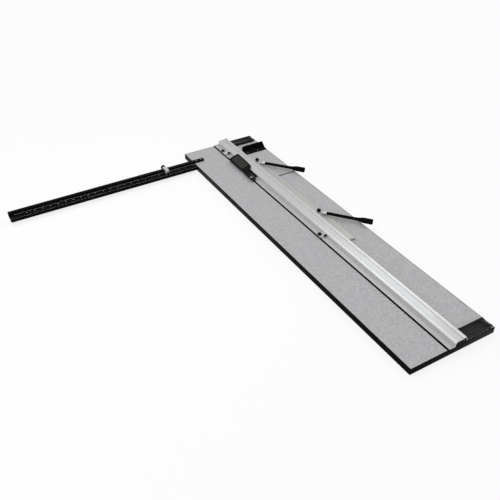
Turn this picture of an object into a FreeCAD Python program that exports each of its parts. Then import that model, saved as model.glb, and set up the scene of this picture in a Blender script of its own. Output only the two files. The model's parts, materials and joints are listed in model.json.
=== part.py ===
import FreeCAD, Part
import Sketcher
import math
import os
import re

# Board-mounted mat cutter with a lifting guide rail, in millimetres.
# Outlines are written from the near left corner of the board's top face: X to the right,
# Y towards the far end, Z up. Every piece is then moved so that the part's origin is the
# centre of the underside of the near left foot.

doc = FreeCAD.newDocument("MatCutter")
sheet = doc.addObject("Spreadsheet::Sheet", "Sizes")

SIZES = {
    # baseboard and what is let into it
    "board_wide": 279.4,
    "board_long": 1219.2,
    "board_thick": 19.05,
    "band_thick": 2.0,
    "band_round": 0.9,
    "tongue_deep": 4.0,
    "tongue_thick": 2.0,
    "tongue_notch": 3.0,
    "strip_left": 118.2,
    "strip_wide": 6.6,
    "strip_deep": 6.5,
    "slot_left": 119.7,
    "slot_wide": 1.8,
    "slot_deep": 5.2,
    "channel_in": 310.2,
    "channel_left": 145.0,
    "channel_wide": 8.0,
    "channel_deep": 6.0,
    "channel_wall": 1.0,
    "foot_radius": 9.0,
    "foot_tall": 3.0,
    "foot_inset": 24.0,
    # clearances
    "run_gap": 0.3,
    "pin_gap": 0.05,
    "screw_gap": 0.05,
    # guide rail extrusion
    "rail_left": 122.0,
    "flange_wide": 18.7,
    "flange_thick": 2.0,
    "grip_thick": 1.0,
    "grip_inset": 2.0,
    "grip_wide": 16.0,
    "rail_wall": 2.5,
    "rail_skin": 2.2,
    "rail_top": 17.2,
    "shoulder_wide": 6.8,
    "shoulder_tall": 5.2,
    "shoulder_round": 4.5,
    "lip_low": 6.4,
    "lip_high": 9.6,
    "lip_deep": 1.2,
    "crown_wide": 18.3,
    "bead_wide": 1.8,
    "bead_deep": 1.0,
    "ridge_run": 4.6,
    "ridge_wide": 1.8,
    "ridge_top": 20.9,
    "ridge_round": 0.8,
    "rail_wide": 59.2,
    "flank_low": 8.8,
    "flank_wall": 2.2,
    "line_wide": 0.9,
    "line_deep": 0.5,
    "line_first": 3.6,
    "line_step": 5.6,
    "cap_thick": 1.5,
    "cap_inset": 0.6,
    # hinge: arms under the rail, pins and bases at the board's right edge
    "arm_wide": 36.0,
    "arm_near_y": 2.5,
    "arm_far_in": 44.2,
    "arm_top": 8.3,
    "arm_rim": 3.5,
    "arm_recess": 1.2,
    "arm_round": 1.0,
    "seat_wide": 18.0,
    "seat_inset": 4.6,
    "core_long": 17.0,
    "core_step": 20.0,
    "core_skin": 2.5,
    "pin_from_edge": 13.4,
    "pin_high": 4.3,
    "pin_radius": 1.5,
    "barrel_radius": 4.0,
    "lug_wide": 8.0,
    "lug_left": 5.0,
    "lug_right": 6.0,
    "lug_tall": 8.3,
    "swing_gap": 1.5,
    "bridge_thick": 1.6,
    "screw_radius": 1.6,
    "head_radius": 3.2,
    "head_tall": 2.2,
    "base_screw_left": 3.0,
    # squaring arm and its stop
    "fence_in": 81.7,
    "fence_wide": 12.8,
    "fence_top": 7.0,
    "ledge_wide": 29.5,
    "sq_arm_left": 654.0,
    "sq_arm_right": 39.0,
    "sq_arm_deep": 10.0,
    "sq_arm_wall": 2.0,
    "sq_line_in": 4.0,
    "arm_stop_x": -117.0,
    "arm_stop_long": 12.0,
    "arm_stop_front": 14.0,
    "arm_stop_top": 11.8,
    "arm_stop_knob_radius": 7.4,
    "arm_stop_back": 3.0,
    # end bracket
    "bracket_left": 192.0,
    "bracket_wide": 86.0,
    "bracket_in": 122.2,
    "bracket_long": 33.0,
    "bracket_thick": 3.0,
    "bracket_tall": 19.5,
    "bracket_drop": 2.8,
    "bracket_rib": 2.0,
    # rail stops on the flange
    "stop_tall": 4.0,
    "stop_post_tall": 4.2,
    "stop_post_wide": 6.4,
    "bumper_radius": 3.1,
    "bumper_long": 3.5,
    "stop_knob_in": 3.0,
    "stop_over": 1.5,
    "stop_knob_radius": 5.2,
    "stop_knob_tall": 5.0,
    "mid_stop_in": 687.7,
    "mid_stop_long": 17.0,
    "far_stop_in": 88.2,
    "far_stop_long": 28.0,
    # mat guide bar with two lever locks and two thumb screws
    "bar_left": 152.0,
    "bar_wide": 57.0,
    "bar_long": 565.0,
    "bar_far_in": 174.2,
    "bar_thick": 5.0,
    "bar_rib": 1.6,
    "bar_skin": 2.0,
    "bar_end_long": 2.5,
    "runner_long": 54.0,
    "lever_x": 198.5,
    "near_lever_in": 149.0,
    "far_lever_in": 45.0,
    "hub_radius": 6.5,
    "hub_tall": 10.5,
    "post_radius": 3.0,
    "rod_radius": 3.2,
    "rod_high": 13.0,
    "rod_long": 96.0,
    "rod_collar": 12.0,
    "rod_seat": 2.5,
    "lever_angle": -50.4,
    "grip_radius": 7.8,
    "grip_long": 62.0,
    "grip_taper": 12.0,
    "grip_neck": 4.0,
    "near_knob_step": 19.0,
    "far_knob_step": 29.0,
    "knob_radius": 6.5,
    "knob_stem": 3.2,
    "knob_low": 8.6,
    "knob_top": 15.2,
    "knob_lip": 1.2,
    # cutting head: hood, shoe and blade lever
    "head_left": 113.0,
    "head_long": 99.0,
    "head_far_in": 135.2,
    "head_wall": 2.4,
    "head_skirt": 5.0,
    "head_over": 7.8,
    "head_top": 30.0,
    "head_round": 5.0,
    "edge_round": 1.2,
    "press_gap": 0.6,
    "crest_left_far": 13.0,
    "crest_left_mid": 12.2,
    "crest_left_near": 10.2,
    "crest_right_far": 24.0,
    "crest_right_mid": 23.2,
    "crest_right_near": 19.4,
    "crest_mid_in": 46.0,
    "panel_rim": 3.4,
    "panel_near_in": 14.0,
    "panel_far_in": 9.0,
    "panel_deep": 0.7,
    "panel_rib": 2.4,
    "shoe_top": 6.5,
    "shoe_tail": 5.4,
    "tail_long": 49.0,
    "tail_notch": 4.0,
    "head_screw_top": 11.5,
    "head_screw_step": 46.0,
    "lever_wide": 6.4,
    "lever_low": 8.0,
    "lever_top": 12.2,
    "lever_tail_low": 6.9,
    "lever_tail_top": 10.2,
    "lever_tail_long": 18.5,
    "slot_top": 12.6,
    "axle_in": 15.0,
    "axle_high": 9.6,
    "axle_radius": 1.3,
    "axle_seat": 4.0,
    "lever_hub": 2.7,
    "depth_in": 4.0,
    "depth_top": 7.2,
    "spring_in": 29.0,
    "spring_radius": 2.6,
    "spring_top": 15.2,
    "wire_radius": 0.4,
    "shoulder_long": 22.0,
    "shoulder_right": 139.8,
    "shoulder_low": 11.8,
    "nose_left": 110.8,
    "nose_wide": 17.2,
    "nose_round": 4.0,
    "nose_long": 68.0,
    "nose_low": 6.4,
    "nose_step": 8.6,
    "nose_top": 10.2,
    "nose_gap": 0.8,
    "blade_thick": 0.6,
    "blade_wide": 19.0,
    "blade_in": 9.0,
    "blade_tip": 1.6,
    "holder_wide": 5.8,
    "holder_top": 8.9,
    "clamp_in": 17.0,
    "clamp_radius": 4.6,
    "clamp_tall": 2.2,
}

# Places that follow from the sizes above.
PLACES = {
    "arm_far_y": "(board_long - arm_far_in)",
    "channel_y": "(board_long - channel_in)",
    "fence_y": "(board_long - fence_in)",
    "bracket_y": "(board_long - bracket_in)",
    "mid_stop_y": "(board_long - mid_stop_in)",
    "far_stop_y": "(board_long - far_stop_in)",
    "bar_far": "(board_long - bar_far_in)",
    "bar_near": "(bar_far - bar_long)",
    "near_lever_y": "(bar_near + near_lever_in)",
    "far_lever_y": "(bar_far - far_lever_in)",
    "near_knob_y": "(near_lever_y + near_knob_step)",
    "far_knob_y": "(far_lever_y + far_knob_step)",
    "head_far": "(board_long - head_far_in)",
    "head_near": "(head_far - head_long)",
    "shoe_near": "(head_near - tail_long)",
    "crest_mid_y": "(head_near + crest_mid_in)",
    "axle_y": "(head_near + axle_in)",
    "depth_y": "(head_near + depth_in)",
    "spring_y": "(head_near + spring_in)",
    "shoulder_y": "(head_near - shoulder_long)",
    "nose_near": "(head_near - nose_long)",
    "blade_near": "(nose_near + blade_in)",
    "clamp_y": "(nose_near + clamp_in)",
}
NAME = r"[a-z]+(?:_[a-z]+)+"


def fill_sheet():
    """Writes each size into its own cell and names the cell after it."""
    for row, (name, value) in enumerate(SIZES.items(), start=1):
        sheet.set("A%d" % row, name)
        sheet.set("B%d" % row, str(value))
        sheet.setAlias("B%d" % row, name)
    doc.recompute()


def cell(text):
    """Spells out the places in an expression and refers its sizes to their cells."""
    text = str(text)
    while any(name in PLACES for name in re.findall(NAME, text)):
        text = re.sub(NAME, lambda found: PLACES.get(found.group(), found.group()), text)
    return re.sub(NAME, r"Sizes.\g<0>", text)


def number(text):
    """The present value of an expression."""
    return float(sheet.evalExpression(cell(text)))


fill_sheet()
PLANES = {"XY": ("XY_Plane", 1), "XZ": ("XZ_Plane", -1), "YZ": ("YZ_Plane", 1)}
pieces = []


def to_frame(thing, x="0", y="0", z="0"):
    """Places a piece, given in board coordinates, in the part's own frame."""
    thing.setExpression(".Placement.Base.x", cell("%s - foot_inset" % x))
    thing.setExpression(".Placement.Base.y", cell("%s - foot_inset" % y))
    thing.setExpression(".Placement.Base.z", cell("%s + board_thick + foot_tall" % z))
    return thing


def new_body(label, keep=True):
    """A body for one piece, modelled in board coordinates."""
    body = doc.addObject("PartDesign::Body", label)
    body.Label = label
    if keep:
        pieces.append(body)
    return to_frame(body)


def new_sketch(body, plane, offset="0"):
    """A sketch on one of the body's own planes, moved along that plane's axis."""
    role, sense = PLANES[plane]
    sketch = body.newObject("Sketcher::SketchObject", body.Label + "_outline")
    origin = [item for item in body.Origin.OriginFeatures if item.Role == role][0]
    sketch.AttachmentSupport = (origin, [""])
    sketch.MapMode = "FlatFace"
    sketch.setExpression(".AttachmentOffset.Base.z", cell("%d * (%s)" % (sense, offset)))
    return sketch


def draw_lines(sketch, points):
    """A closed outline of straight lines with every corner held by the sheet."""
    corners = [FreeCAD.Vector(number(x), number(y), 0) for x, y in points]
    count = len(corners)
    for index in range(count):
        line = Part.LineSegment(corners[index], corners[(index + 1) % count])
        sketch.addGeometry(line, False)
    for index in range(count):
        sketch.addConstraint(Sketcher.Constraint("Coincident", index, 2, (index + 1) % count, 1))
    for index, corner in enumerate(corners):
        for kind, text, value in zip(("DistanceX", "DistanceY"), points[index], corner):
            held = sketch.addConstraint(Sketcher.Constraint(kind, -1, 1, index, 1, value))
            sketch.setExpression("Constraints[%d]" % held, cell(text))


def draw_circle(sketch, x, y, radius):
    """A circle whose centre and radius are held by the sheet."""
    centre = FreeCAD.Vector(number(x), number(y), 0)
    ring = sketch.addGeometry(Part.Circle(centre, FreeCAD.Vector(0, 0, 1), number(radius)), False)
    for kind, text, value in (("DistanceX", x, centre.x), ("DistanceY", y, centre.y)):
        held = sketch.addConstraint(Sketcher.Constraint(kind, -1, 1, ring, 3, value))
        sketch.setExpression("Constraints[%d]" % held, cell(text))
    held = sketch.addConstraint(Sketcher.Constraint("Radius", ring, number(radius)))
    sketch.setExpression("Constraints[%d]" % held, cell(radius))


def rectangle(left, near, right, far):
    """The corners of a rectangle in a sketch."""
    return [(left, near), (right, near), (right, far), (left, far)]


def many_sided(x, y, radius, sides=12, flute=1):
    """The corners of a round outline; flute draws in every second one."""
    corners = []
    for step in range(sides):
        turn = math.radians(360 * step / sides)
        reach = flute if step % 2 else 1
        corners.append(("%s + (%s) * (%.6f)" % (x, radius, reach * math.cos(turn)),
                        "%s + (%s) * (%.6f)" % (y, radius, reach * math.sin(turn))))
    return corners


def extrude(body, kind, plane, low, high, points=None, circle=None):
    """Pads or pockets an outline from low to high along the plane's axis."""
    sketch = new_sketch(body, plane, low)
    if circle:
        draw_circle(sketch, *circle)
    else:
        draw_lines(sketch, points)
    feature = body.newObject("PartDesign::" + kind, body.Label + "_" + kind.lower())
    feature.Profile = sketch
    feature.setExpression("Length", cell("(%s) - (%s)" % (high, low)))
    forward = PLANES[plane][1] > 0
    feature.Reversed = forward if kind == "Pocket" else not forward
    sketch.Visibility = False
    doc.recompute()
    return feature


def pad(body, plane, low, high, points=None, circle=None):
    return extrude(body, "Pad", plane, low, high, points, circle)


def pocket(body, plane, low, high, points=None, circle=None):
    before = body.Tip.Shape.Volume
    feature = extrude(body, "Pocket", plane, low, high, points, circle)
    if not body.Tip.Shape.Volume < before:
        raise RuntimeError("a pocket of %s cuts nothing" % body.Label)
    return feature


def prism(label, plane, low, high, points, keep=True):
    """A body made of one straight pad."""
    body = new_body(label, keep)
    pad(body, plane, low, high, points)
    return body


def dress(body, kind, size, wanted):
    """Fillets or chamfers the edges whose box and length pass the given test."""
    names = []
    for index, edge in enumerate(body.Tip.Shape.Edges, start=1):
        if wanted(edge.BoundBox):
            names.append("Edge%d" % index)
    if not names:
        raise RuntimeError("no edge of %s to dress" % body.Label)
    base = body.Tip
    feature = body.newObject("PartDesign::" + kind, body.Label + "_" + kind.lower())
    feature.Base = (base, names)
    feature.setExpression("Radius" if kind == "Fillet" else "Size", cell(size))
    doc.recompute()
    return feature


def near_to(value, text):
    return abs(value - number(text)) < 0.01


def along_y(box):
    """True for an edge that runs along the rail."""
    return box.YLength > 1 and box.XLength < 0.01 and box.ZLength < 0.01


def upright(box):
    """True for a vertical edge."""
    return box.ZLength > 0.5 and box.XLength < 0.01 and box.YLength < 0.01


def turned(label, profile, x, y, z, axis=(0, 0, 1), angle="0", keep=True):
    """A piece turned about its own axis; profile gives radius and height."""
    body = new_body(label, keep)
    sketch = new_sketch(body, "XZ")
    draw_lines(sketch, profile)
    feature = body.newObject("PartDesign::Revolution", label + "_turned")
    feature.Profile = sketch
    feature.ReferenceAxis = (sketch, ["V_Axis"])
    feature.Angle = 360
    sketch.Visibility = False
    to_frame(body, x, y, z)
    body.Placement = FreeCAD.Placement(
        body.Placement.Base, FreeCAD.Rotation(FreeCAD.Vector(*axis), number(angle)))
    body.setExpression(".Placement.Rotation.Angle", cell(angle))
    doc.recompute()
    return body


def group(label, members):
    """Identical pieces that share one node as separate solids."""
    compound = doc.addObject("Part::Compound", label)
    compound.Label = label
    compound.Links = members
    pieces.append(compound)
    doc.recompute()
    return compound


def screw(label, x, y, z, length, tall, under=True, keep=False):
    """A small screw whose head's inner face is at z, with its shank above or below it."""
    body = new_body(label, keep)
    spans = (("0", length), ("-(%s)" % tall, "0")) if under else (("-(%s)" % length, "0"), ("0", tall))
    pad(body, "XY", *spans[0], many_sided("0", "0", "screw_radius"))
    pad(body, "XY", *spans[1], many_sided("0", "0", "head_radius"))
    to_frame(body, x, y, z)
    doc.recompute()
    return body


def screw_hole(body, low, high, x, y, wide="screw_radius"):
    """A hole that clears a screw's shank or head."""
    pocket(body, "XY", low, high, many_sided(x, y, "(%s + screw_gap)" % wide))


def knob(label, x, y, z, shank, neck, low, top, radius, **place):
    """A fluted thumb screw: round shank, neck and many-sided grip."""
    body = new_body(label)
    pad(body, "XY", "0", neck, circle=("0", "0", shank))
    if neck != low:
        pad(body, "XY", neck, low, many_sided("0", "0", "knob_stem"))
    pad(body, "XY", low, "%s - knob_lip" % top, many_sided("0", "0", radius, 24, 0.9))
    pad(body, "XY", "%s - knob_lip" % top, top, many_sided("0", "0", "%s * 0.8" % radius))
    to_frame(body, x, y, z)
    if place:
        turn = FreeCAD.Rotation(FreeCAD.Vector(*place["axis"]), float(place["angle"]))
        body.Placement = FreeCAD.Placement(body.Placement.Base, turn)
    doc.recompute()
    return body


ALONG_Y = {"axis": (1, 0, 0), "angle": "-90"}
ALONG_X = {"axis": (0, 1, 0), "angle": "90"}

# Places that several pieces share, written once as expressions of the sheet.
flange_low = "(run_gap + grip_thick)"
flange_top = "(%s + flange_thick)" % flange_low
wall_x = "(rail_left + flange_wide)"
crown_x = "(%s + shoulder_wide)" % wall_x
bead_x = "(%s + crown_wide)" % crown_x
ridge_x = "(%s + bead_wide + ridge_run)" % bead_x
rail_right = "(rail_left + rail_wide)"
pin_x = "(board_wide - pin_from_edge)"
board_low = "(-board_thick)"
arm_ys = {"near": "arm_near_y", "far": "arm_far_y"}
seat_left = "(%s + rail_wall + seat_inset)" % wall_x
roof = "(rail_top - rail_skin)"


def band_sides(inner, outer):
    """Four rectangles round the board, each stopping short of the corners."""
    right = "(board_wide - %s)"
    far = "(board_long - %s)"
    corner = "(%s + tongue_notch)" % inner
    return [
        rectangle(corner, outer, right % corner, inner),
        rectangle(corner, far % inner, right % corner, far % outer),
        rectangle(outer, corner, inner, far % corner),
        rectangle(right % inner, corner, right % outer, far % corner),
    ]


# BASEBOARD
tongue_low = "(%s / 2 - tongue_thick / 2)" % board_low
tongue_high = "(%s / 2 + tongue_thick / 2)" % board_low
tongue_in = "(band_thick + tongue_deep)"
base_screw_spots = []
for arm_y in arm_ys.values():
    for part_wide in ("lug_wide * 3 / 4", "(arm_wide - lug_wide * 3 / 4)"):
        base_screw_spots.append(
            ("(%s - base_screw_left)" % pin_x, "(%s + %s)" % (arm_y, part_wide)))

baseboard = prism(
    "baseboard", "XY", board_low, "0",
    rectangle("band_thick", "band_thick", "board_wide - band_thick", "board_long - band_thick"))
for side in band_sides(tongue_in, "band_thick"):
    pocket(baseboard, "XY", tongue_low, tongue_high, side)
pocket(baseboard, "XY", "-strip_deep", "0",
       rectangle("strip_left", "band_thick", "strip_left + strip_wide", "board_long - band_thick"))
pocket(baseboard, "XY", "-channel_deep", "0",
       rectangle("channel_left", "channel_y - channel_wide / 2",
                 "board_wide - band_thick", "channel_y + channel_wide / 2"))
for screw_x, screw_y in base_screw_spots:
    screw_hole(baseboard, board_low, "0", screw_x, screw_y)
    screw_hole(baseboard, board_low, "%s + head_tall" % board_low, screw_x, screw_y, "head_radius")

edge_band = prism("edge_band", "XY", board_low, "0",
                  rectangle("0", "0", "board_wide", "board_long"))
pocket(edge_band, "XY", board_low, "0",
       rectangle("band_thick", "band_thick", "board_wide - band_thick", "board_long - band_thick"))
for side in band_sides(tongue_in, "band_thick"):
    pad(edge_band, "XY", tongue_low, tongue_high, side)
dress(edge_band, "Fillet", "band_round",
      lambda box: box.ZLength < 0.01 and (near_to(box.ZMax, "0") or near_to(box.ZMax, board_low))
      and (box.XMin < 0.01 and box.XMax < 0.01 or near_to(box.XMin, "board_wide")
           or box.YMax < 0.01 or near_to(box.YMin, "board_long")))

# The black strip let into the board, with the slot that the blade runs in.
cutting_strip = prism(
    "cutting_strip", "XZ", "band_thick", "board_long - band_thick",
    [("strip_left", "-strip_deep"), ("strip_left + strip_wide", "-strip_deep"),
     ("strip_left + strip_wide", "0"), ("slot_left + slot_wide", "0"),
     ("slot_left + slot_wide", "-slot_deep"), ("slot_left", "-slot_deep"),
     ("slot_left", "0"), ("strip_left", "0")])

# The channel across the board that keeps the mat guide square to the rail.
channel_near = "(channel_y - channel_wide / 2)"
channel_end = "(channel_y + channel_wide / 2)"
guide_channel = prism(
    "guide_channel", "YZ", "channel_left", "board_wide - band_thick",
    [(channel_near, "-channel_deep"), (channel_end, "-channel_deep"), (channel_end, "0"),
     ("%s - channel_wall" % channel_end, "0"),
     ("%s - channel_wall" % channel_end, "-channel_deep + channel_wall"),
     ("%s + channel_wall" % channel_near, "-channel_deep + channel_wall"),
     ("%s + channel_wall" % channel_near, "0"), (channel_near, "0")])

feet = []
for foot_x in ("foot_inset", "(board_wide - foot_inset)"):
    for foot_y in ("foot_inset", "(board_long / 2)", "(board_long - foot_inset)"):
        foot = new_body("rubber_foot", keep=False)
        pad(foot, "XY", "-foot_tall", "0", many_sided("0", "0", "foot_radius", 16))
        feet.append(to_frame(foot, foot_x, foot_y, board_low))
group("rubber_feet", feet)

# HINGES AT THE RIGHT EDGE
lug_left_x = "(%s - lug_left)" % pin_x
lug_right_x = "(%s + lug_right)" % pin_x
arm_screws = []
for side, arm_y in arm_ys.items():
    lug_spans = ((arm_y, "%s + lug_wide" % arm_y),
                 ("%s + arm_wide - lug_wide" % arm_y, "%s + arm_wide" % arm_y))
    base = prism("hinge_base_" + side, "XZ", *lug_spans[0],
                 rectangle(lug_left_x, "0", lug_right_x, "lug_tall"))
    pad(base, "XZ", arm_y, "%s + arm_wide" % arm_y,
        rectangle("%s - bridge_thick" % lug_right_x, "0", lug_right_x, "bridge_thick * 2"))
    pad(base, "XZ", *lug_spans[1], rectangle(lug_left_x, "0", lug_right_x, "lug_tall"))
    pocket(base, "XZ", arm_y, "%s + arm_wide" % arm_y, circle=(pin_x, "pin_high", "pin_radius + pin_gap"))
    for screw_x, screw_y in base_screw_spots:
        if arm_y in screw_y:
            screw_hole(base, "0", "bridge_thick * 2.5", screw_x, screw_y)
    dress(base, "Fillet", "arm_round",
          lambda box: box.YLength > 1 and near_to(box.ZMin, "lug_tall") and box.ZLength < 0.01)
    turned("hinge_pin_" + side,
           [("0", "0"), ("pin_radius", "0"), ("pin_radius", "arm_wide"), ("0", "arm_wide")],
           pin_x, arm_y, "pin_high", **ALONG_Y)

    # The arm: a moulded plate under the rail, ribbed below, with its barrel on the pin.
    tongue_left = "(%s + rail_wall + 1)" % wall_x
    arm_right = "(%s - swing_gap)" % lug_left_x
    arm_end = "(%s + arm_wide)" % arm_y
    arm = prism("hinge_arm_" + side, "XZ", arm_y, arm_end,
                [(tongue_left, "run_gap"), (arm_right, "run_gap"),
                 (arm_right, "arm_top"), ("%s + seat_wide" % seat_left, "arm_top"),
                 ("%s + seat_wide" % seat_left, roof), (seat_left, roof),
                 (seat_left, "arm_top"), (tongue_left, "arm_top")])
    barrel_near = "(%s + lug_wide + run_gap)" % arm_y
    barrel_far = "(%s - lug_wide - run_gap)" % arm_end
    pad(arm, "XZ", barrel_near, barrel_far,
        rectangle("%s - 1" % arm_right, "run_gap", pin_x, "pin_high + barrel_radius"))
    pad(arm, "XZ", barrel_near, barrel_far, circle=(pin_x, "pin_high", "barrel_radius"))
    pocket(arm, "XZ", barrel_near, barrel_far, circle=(pin_x, "pin_high", "pin_radius + pin_gap"))
    pocket(arm, "XY", "arm_top - arm_recess", "arm_top",
           rectangle("%s + arm_rim" % rail_right, "%s + arm_rim" % arm_y,
                     "%s - arm_rim" % arm_right, "%s - arm_rim" % arm_end))
    core_first = "(%s + arm_rim)" % rail_right
    for step in range(3):
        core_left = "(%s + %d * core_step)" % (core_first, step)
        pocket(arm, "XY", "run_gap", "arm_top - arm_recess - core_skin",
               rectangle(core_left, "%s + arm_rim" % arm_y,
                         "%s + core_long" % core_left, "%s - arm_rim" % arm_end))
    dress(arm, "Fillet", "arm_round",
          lambda box: upright(box) and box.ZLength > 7 and box.XMin < number("%s + 1" % tongue_left))
    seat_x = "(%s + seat_wide / 2)" % seat_left
    for seat_y in ("(%s + arm_wide / 4)" % arm_y, "(%s + arm_wide * 3 / 4)" % arm_y):
        screw_hole(arm, "run_gap", roof, seat_x, seat_y)
        screw_hole(arm, "run_gap", "run_gap + head_tall * 2", seat_x, seat_y, "head_radius")
        arm_screws.append(screw(
            "hinge_arm_screw", seat_x, seat_y, "run_gap + head_tall * 2",
            "%s - run_gap - head_tall * 2 + 1" % roof, "head_tall"))
group("hinge_arm_screws", arm_screws)
group("hinge_base_screws", [
    screw("hinge_base_screw", screw_x, screw_y, "%s + head_tall" % board_low,
          "board_thick - head_tall + bridge_thick * 2", "head_tall - 0.2")
    for screw_x, screw_y in base_screw_spots])

# GUIDE RAIL
shoulder_z = "(rail_top - shoulder_tall)"
ridge_end = "(%s + ridge_wide)" % ridge_x
outer_skin = [
    (wall_x, shoulder_z), (crown_x, "rail_top"), (bead_x, "rail_top"),
    (bead_x, "rail_top - bead_deep"), ("%s + bead_wide" % bead_x, "rail_top - bead_deep"),
    ("%s + bead_wide" % bead_x, "rail_top"), (ridge_x, "ridge_top"), (ridge_end, "ridge_top"),
    (rail_right, "flank_low")]
lip_groove = [
    (wall_x, "lip_low"), ("%s + lip_deep" % wall_x, "lip_low"),
    ("%s + lip_deep" % wall_x, "lip_high"), (wall_x, "lip_high")]
inner_skin = [
    ("%s - flank_wall" % rail_right, "flank_low"),
    ("%s - flank_wall / 3" % ridge_end, "ridge_top - rail_skin * 1.4"),
    ("%s - flank_wall / 4" % ridge_x, "ridge_top - rail_skin * 1.4"),
    ("%s + bead_wide" % bead_x, roof), (crown_x, roof),
    ("%s + rail_wall" % wall_x, "%s - rail_skin / 4" % shoulder_z),
    ("%s + rail_wall" % wall_x, flange_low)]
guide_rail = prism(
    "guide_rail", "XZ", "0", "board_long",
    [("rail_left", flange_low), ("rail_left", flange_top), (wall_x, flange_top)]
    + lip_groove + outer_skin + inner_skin)
for step in range(3):
    line_x = "(rail_left + line_first + %d * line_step)" % step
    pocket(guide_rail, "XZ", "0", "board_long",
           rectangle(line_x, "%s - line_deep" % flange_top, "%s + line_wide" % line_x, flange_top))
dress(guide_rail, "Fillet", "shoulder_round",
      lambda box: along_y(box) and (near_to(box.XMin, wall_x) and near_to(box.ZMin, shoulder_z)
                                    or near_to(box.XMin, crown_x) and near_to(box.ZMin, "rail_top")))
dress(guide_rail, "Fillet", "ridge_round",
      lambda box: along_y(box) and near_to(box.ZMin, "ridge_top"))
for arm_y in arm_ys.values():
    for seat_y in ("(%s + arm_wide / 4)" % arm_y, "(%s + arm_wide * 3 / 4)" % arm_y):
        screw_hole(guide_rail, "%s - 1" % roof, "%s + rail_skin * 0.7" % roof, seat_x, seat_y)

prism("rail_grip_strip", "XZ", "0", "board_long",
      rectangle("rail_left + grip_inset", "run_gap",
                "rail_left + grip_inset + grip_wide", flange_low))
cap_outline = inner_skin + [("%s - flank_wall" % rail_right, flange_low)]
far_cap = "(board_long - cap_inset - cap_thick)"
for side, cap_low in (("near", "cap_inset"), ("far", far_cap)):
    prism("rail_cap_" + side, "XZ", cap_low, "%s + cap_thick" % cap_low, cap_outline)

# SQUARING ARM at the left edge, with the stop that slides on its fence
fence_end = "(fence_y + fence_wide)"
ledge_front = "(fence_y - ledge_wide)"
arm_low = "(-sq_arm_deep)"
squaring_arm = prism(
    "squaring_arm", "YZ", "-sq_arm_left", "sq_arm_right",
    [(ledge_front, arm_low), (fence_end, arm_low), (fence_end, "fence_top"),
     ("fence_y", "fence_top"), ("fence_y", "0"), (ledge_front, "0")])
pocket(squaring_arm, "YZ", "-sq_arm_left", "0",
       rectangle("%s + sq_arm_wall" % ledge_front, "%s - 1" % arm_low,
                 "fence_y", "-sq_arm_wall"))
pocket(squaring_arm, "YZ", "-sq_arm_left", "0",
       rectangle("fence_y + sq_arm_wall", "%s + sq_arm_wall" % arm_low,
                 "%s - sq_arm_wall" % fence_end, "fence_top - sq_arm_wall"))
pocket(squaring_arm, "XY", arm_low, "0",
       rectangle("-run_gap", "%s - 1" % ledge_front, "sq_arm_right + 1", "%s + 1" % fence_end))
pocket(squaring_arm, "YZ", "-sq_arm_left", "0",
       rectangle("%s + sq_line_in" % ledge_front, "-line_deep",
                 "%s + sq_line_in + line_wide" % ledge_front, "0"))
sq_screw_spots = []
for step in (1, 3):
    sq_screw_spots.append(("(sq_arm_right * %d / 4)" % step, "(fence_y + fence_wide / 2)"))
for screw_x, screw_y in sq_screw_spots:
    screw_hole(squaring_arm, "0", "fence_top", screw_x, screw_y)
    screw_hole(squaring_arm, "fence_top - head_tall", "fence_top", screw_x, screw_y, "head_radius")
    screw_hole(baseboard, "-board_thick * 0.7", "0", screw_x, screw_y)
group("squaring_arm_screws", [
    screw("squaring_arm_screw", screw_x, screw_y, "fence_top - head_tall",
          "fence_top - head_tall + board_thick * 0.65", "head_tall - 0.3", under=False)
    for screw_x, screw_y in sq_screw_spots])
prism("squaring_arm_cap", "YZ", "-sq_arm_left - cap_thick", "-sq_arm_left",
      [(ledge_front, arm_low), (fence_end, arm_low), (fence_end, "fence_top"),
       ("fence_y", "fence_top"), ("fence_y", "0"), (ledge_front, "0")])

stop_front = "(fence_y - arm_stop_front)"
stop_back = "(%s + run_gap)" % fence_end
stop_back_end = "(%s + arm_stop_back)" % stop_back
stop_floor = "(fence_top + run_gap)"
arm_stop = prism(
    "arm_stop_block", "YZ", "arm_stop_x", "arm_stop_x + arm_stop_long",
    [(stop_front, "run_gap"), ("fence_y - run_gap", "run_gap"), ("fence_y - run_gap", stop_floor),
     (stop_back, stop_floor), (stop_back, arm_low), (stop_back_end, arm_low),
     (stop_back_end, "arm_stop_top"), (stop_front, "arm_stop_top")])
stop_screw_x = "(arm_stop_x + arm_stop_long / 2)"
stop_screw_z = "(fence_top - knob_stem + 0.7)"
pocket(arm_stop, "XZ", "%s - 0.1" % stop_back, stop_back_end,
       circle=(stop_screw_x, stop_screw_z, "screw_radius * 1.3 + run_gap"))
dress(arm_stop, "Fillet", "arm_round",
      lambda box: box.XLength > 5 and box.YLength < 0.01 and near_to(box.ZMin, "arm_stop_top"))
knob("arm_stop_knob", stop_screw_x, stop_back, stop_screw_z, "(screw_radius * 1.3)",
     "(arm_stop_back + run_gap)", "knob_low", "knob_top", "arm_stop_knob_radius",
     axis=(1, 0, 0), angle=-90)

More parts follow.
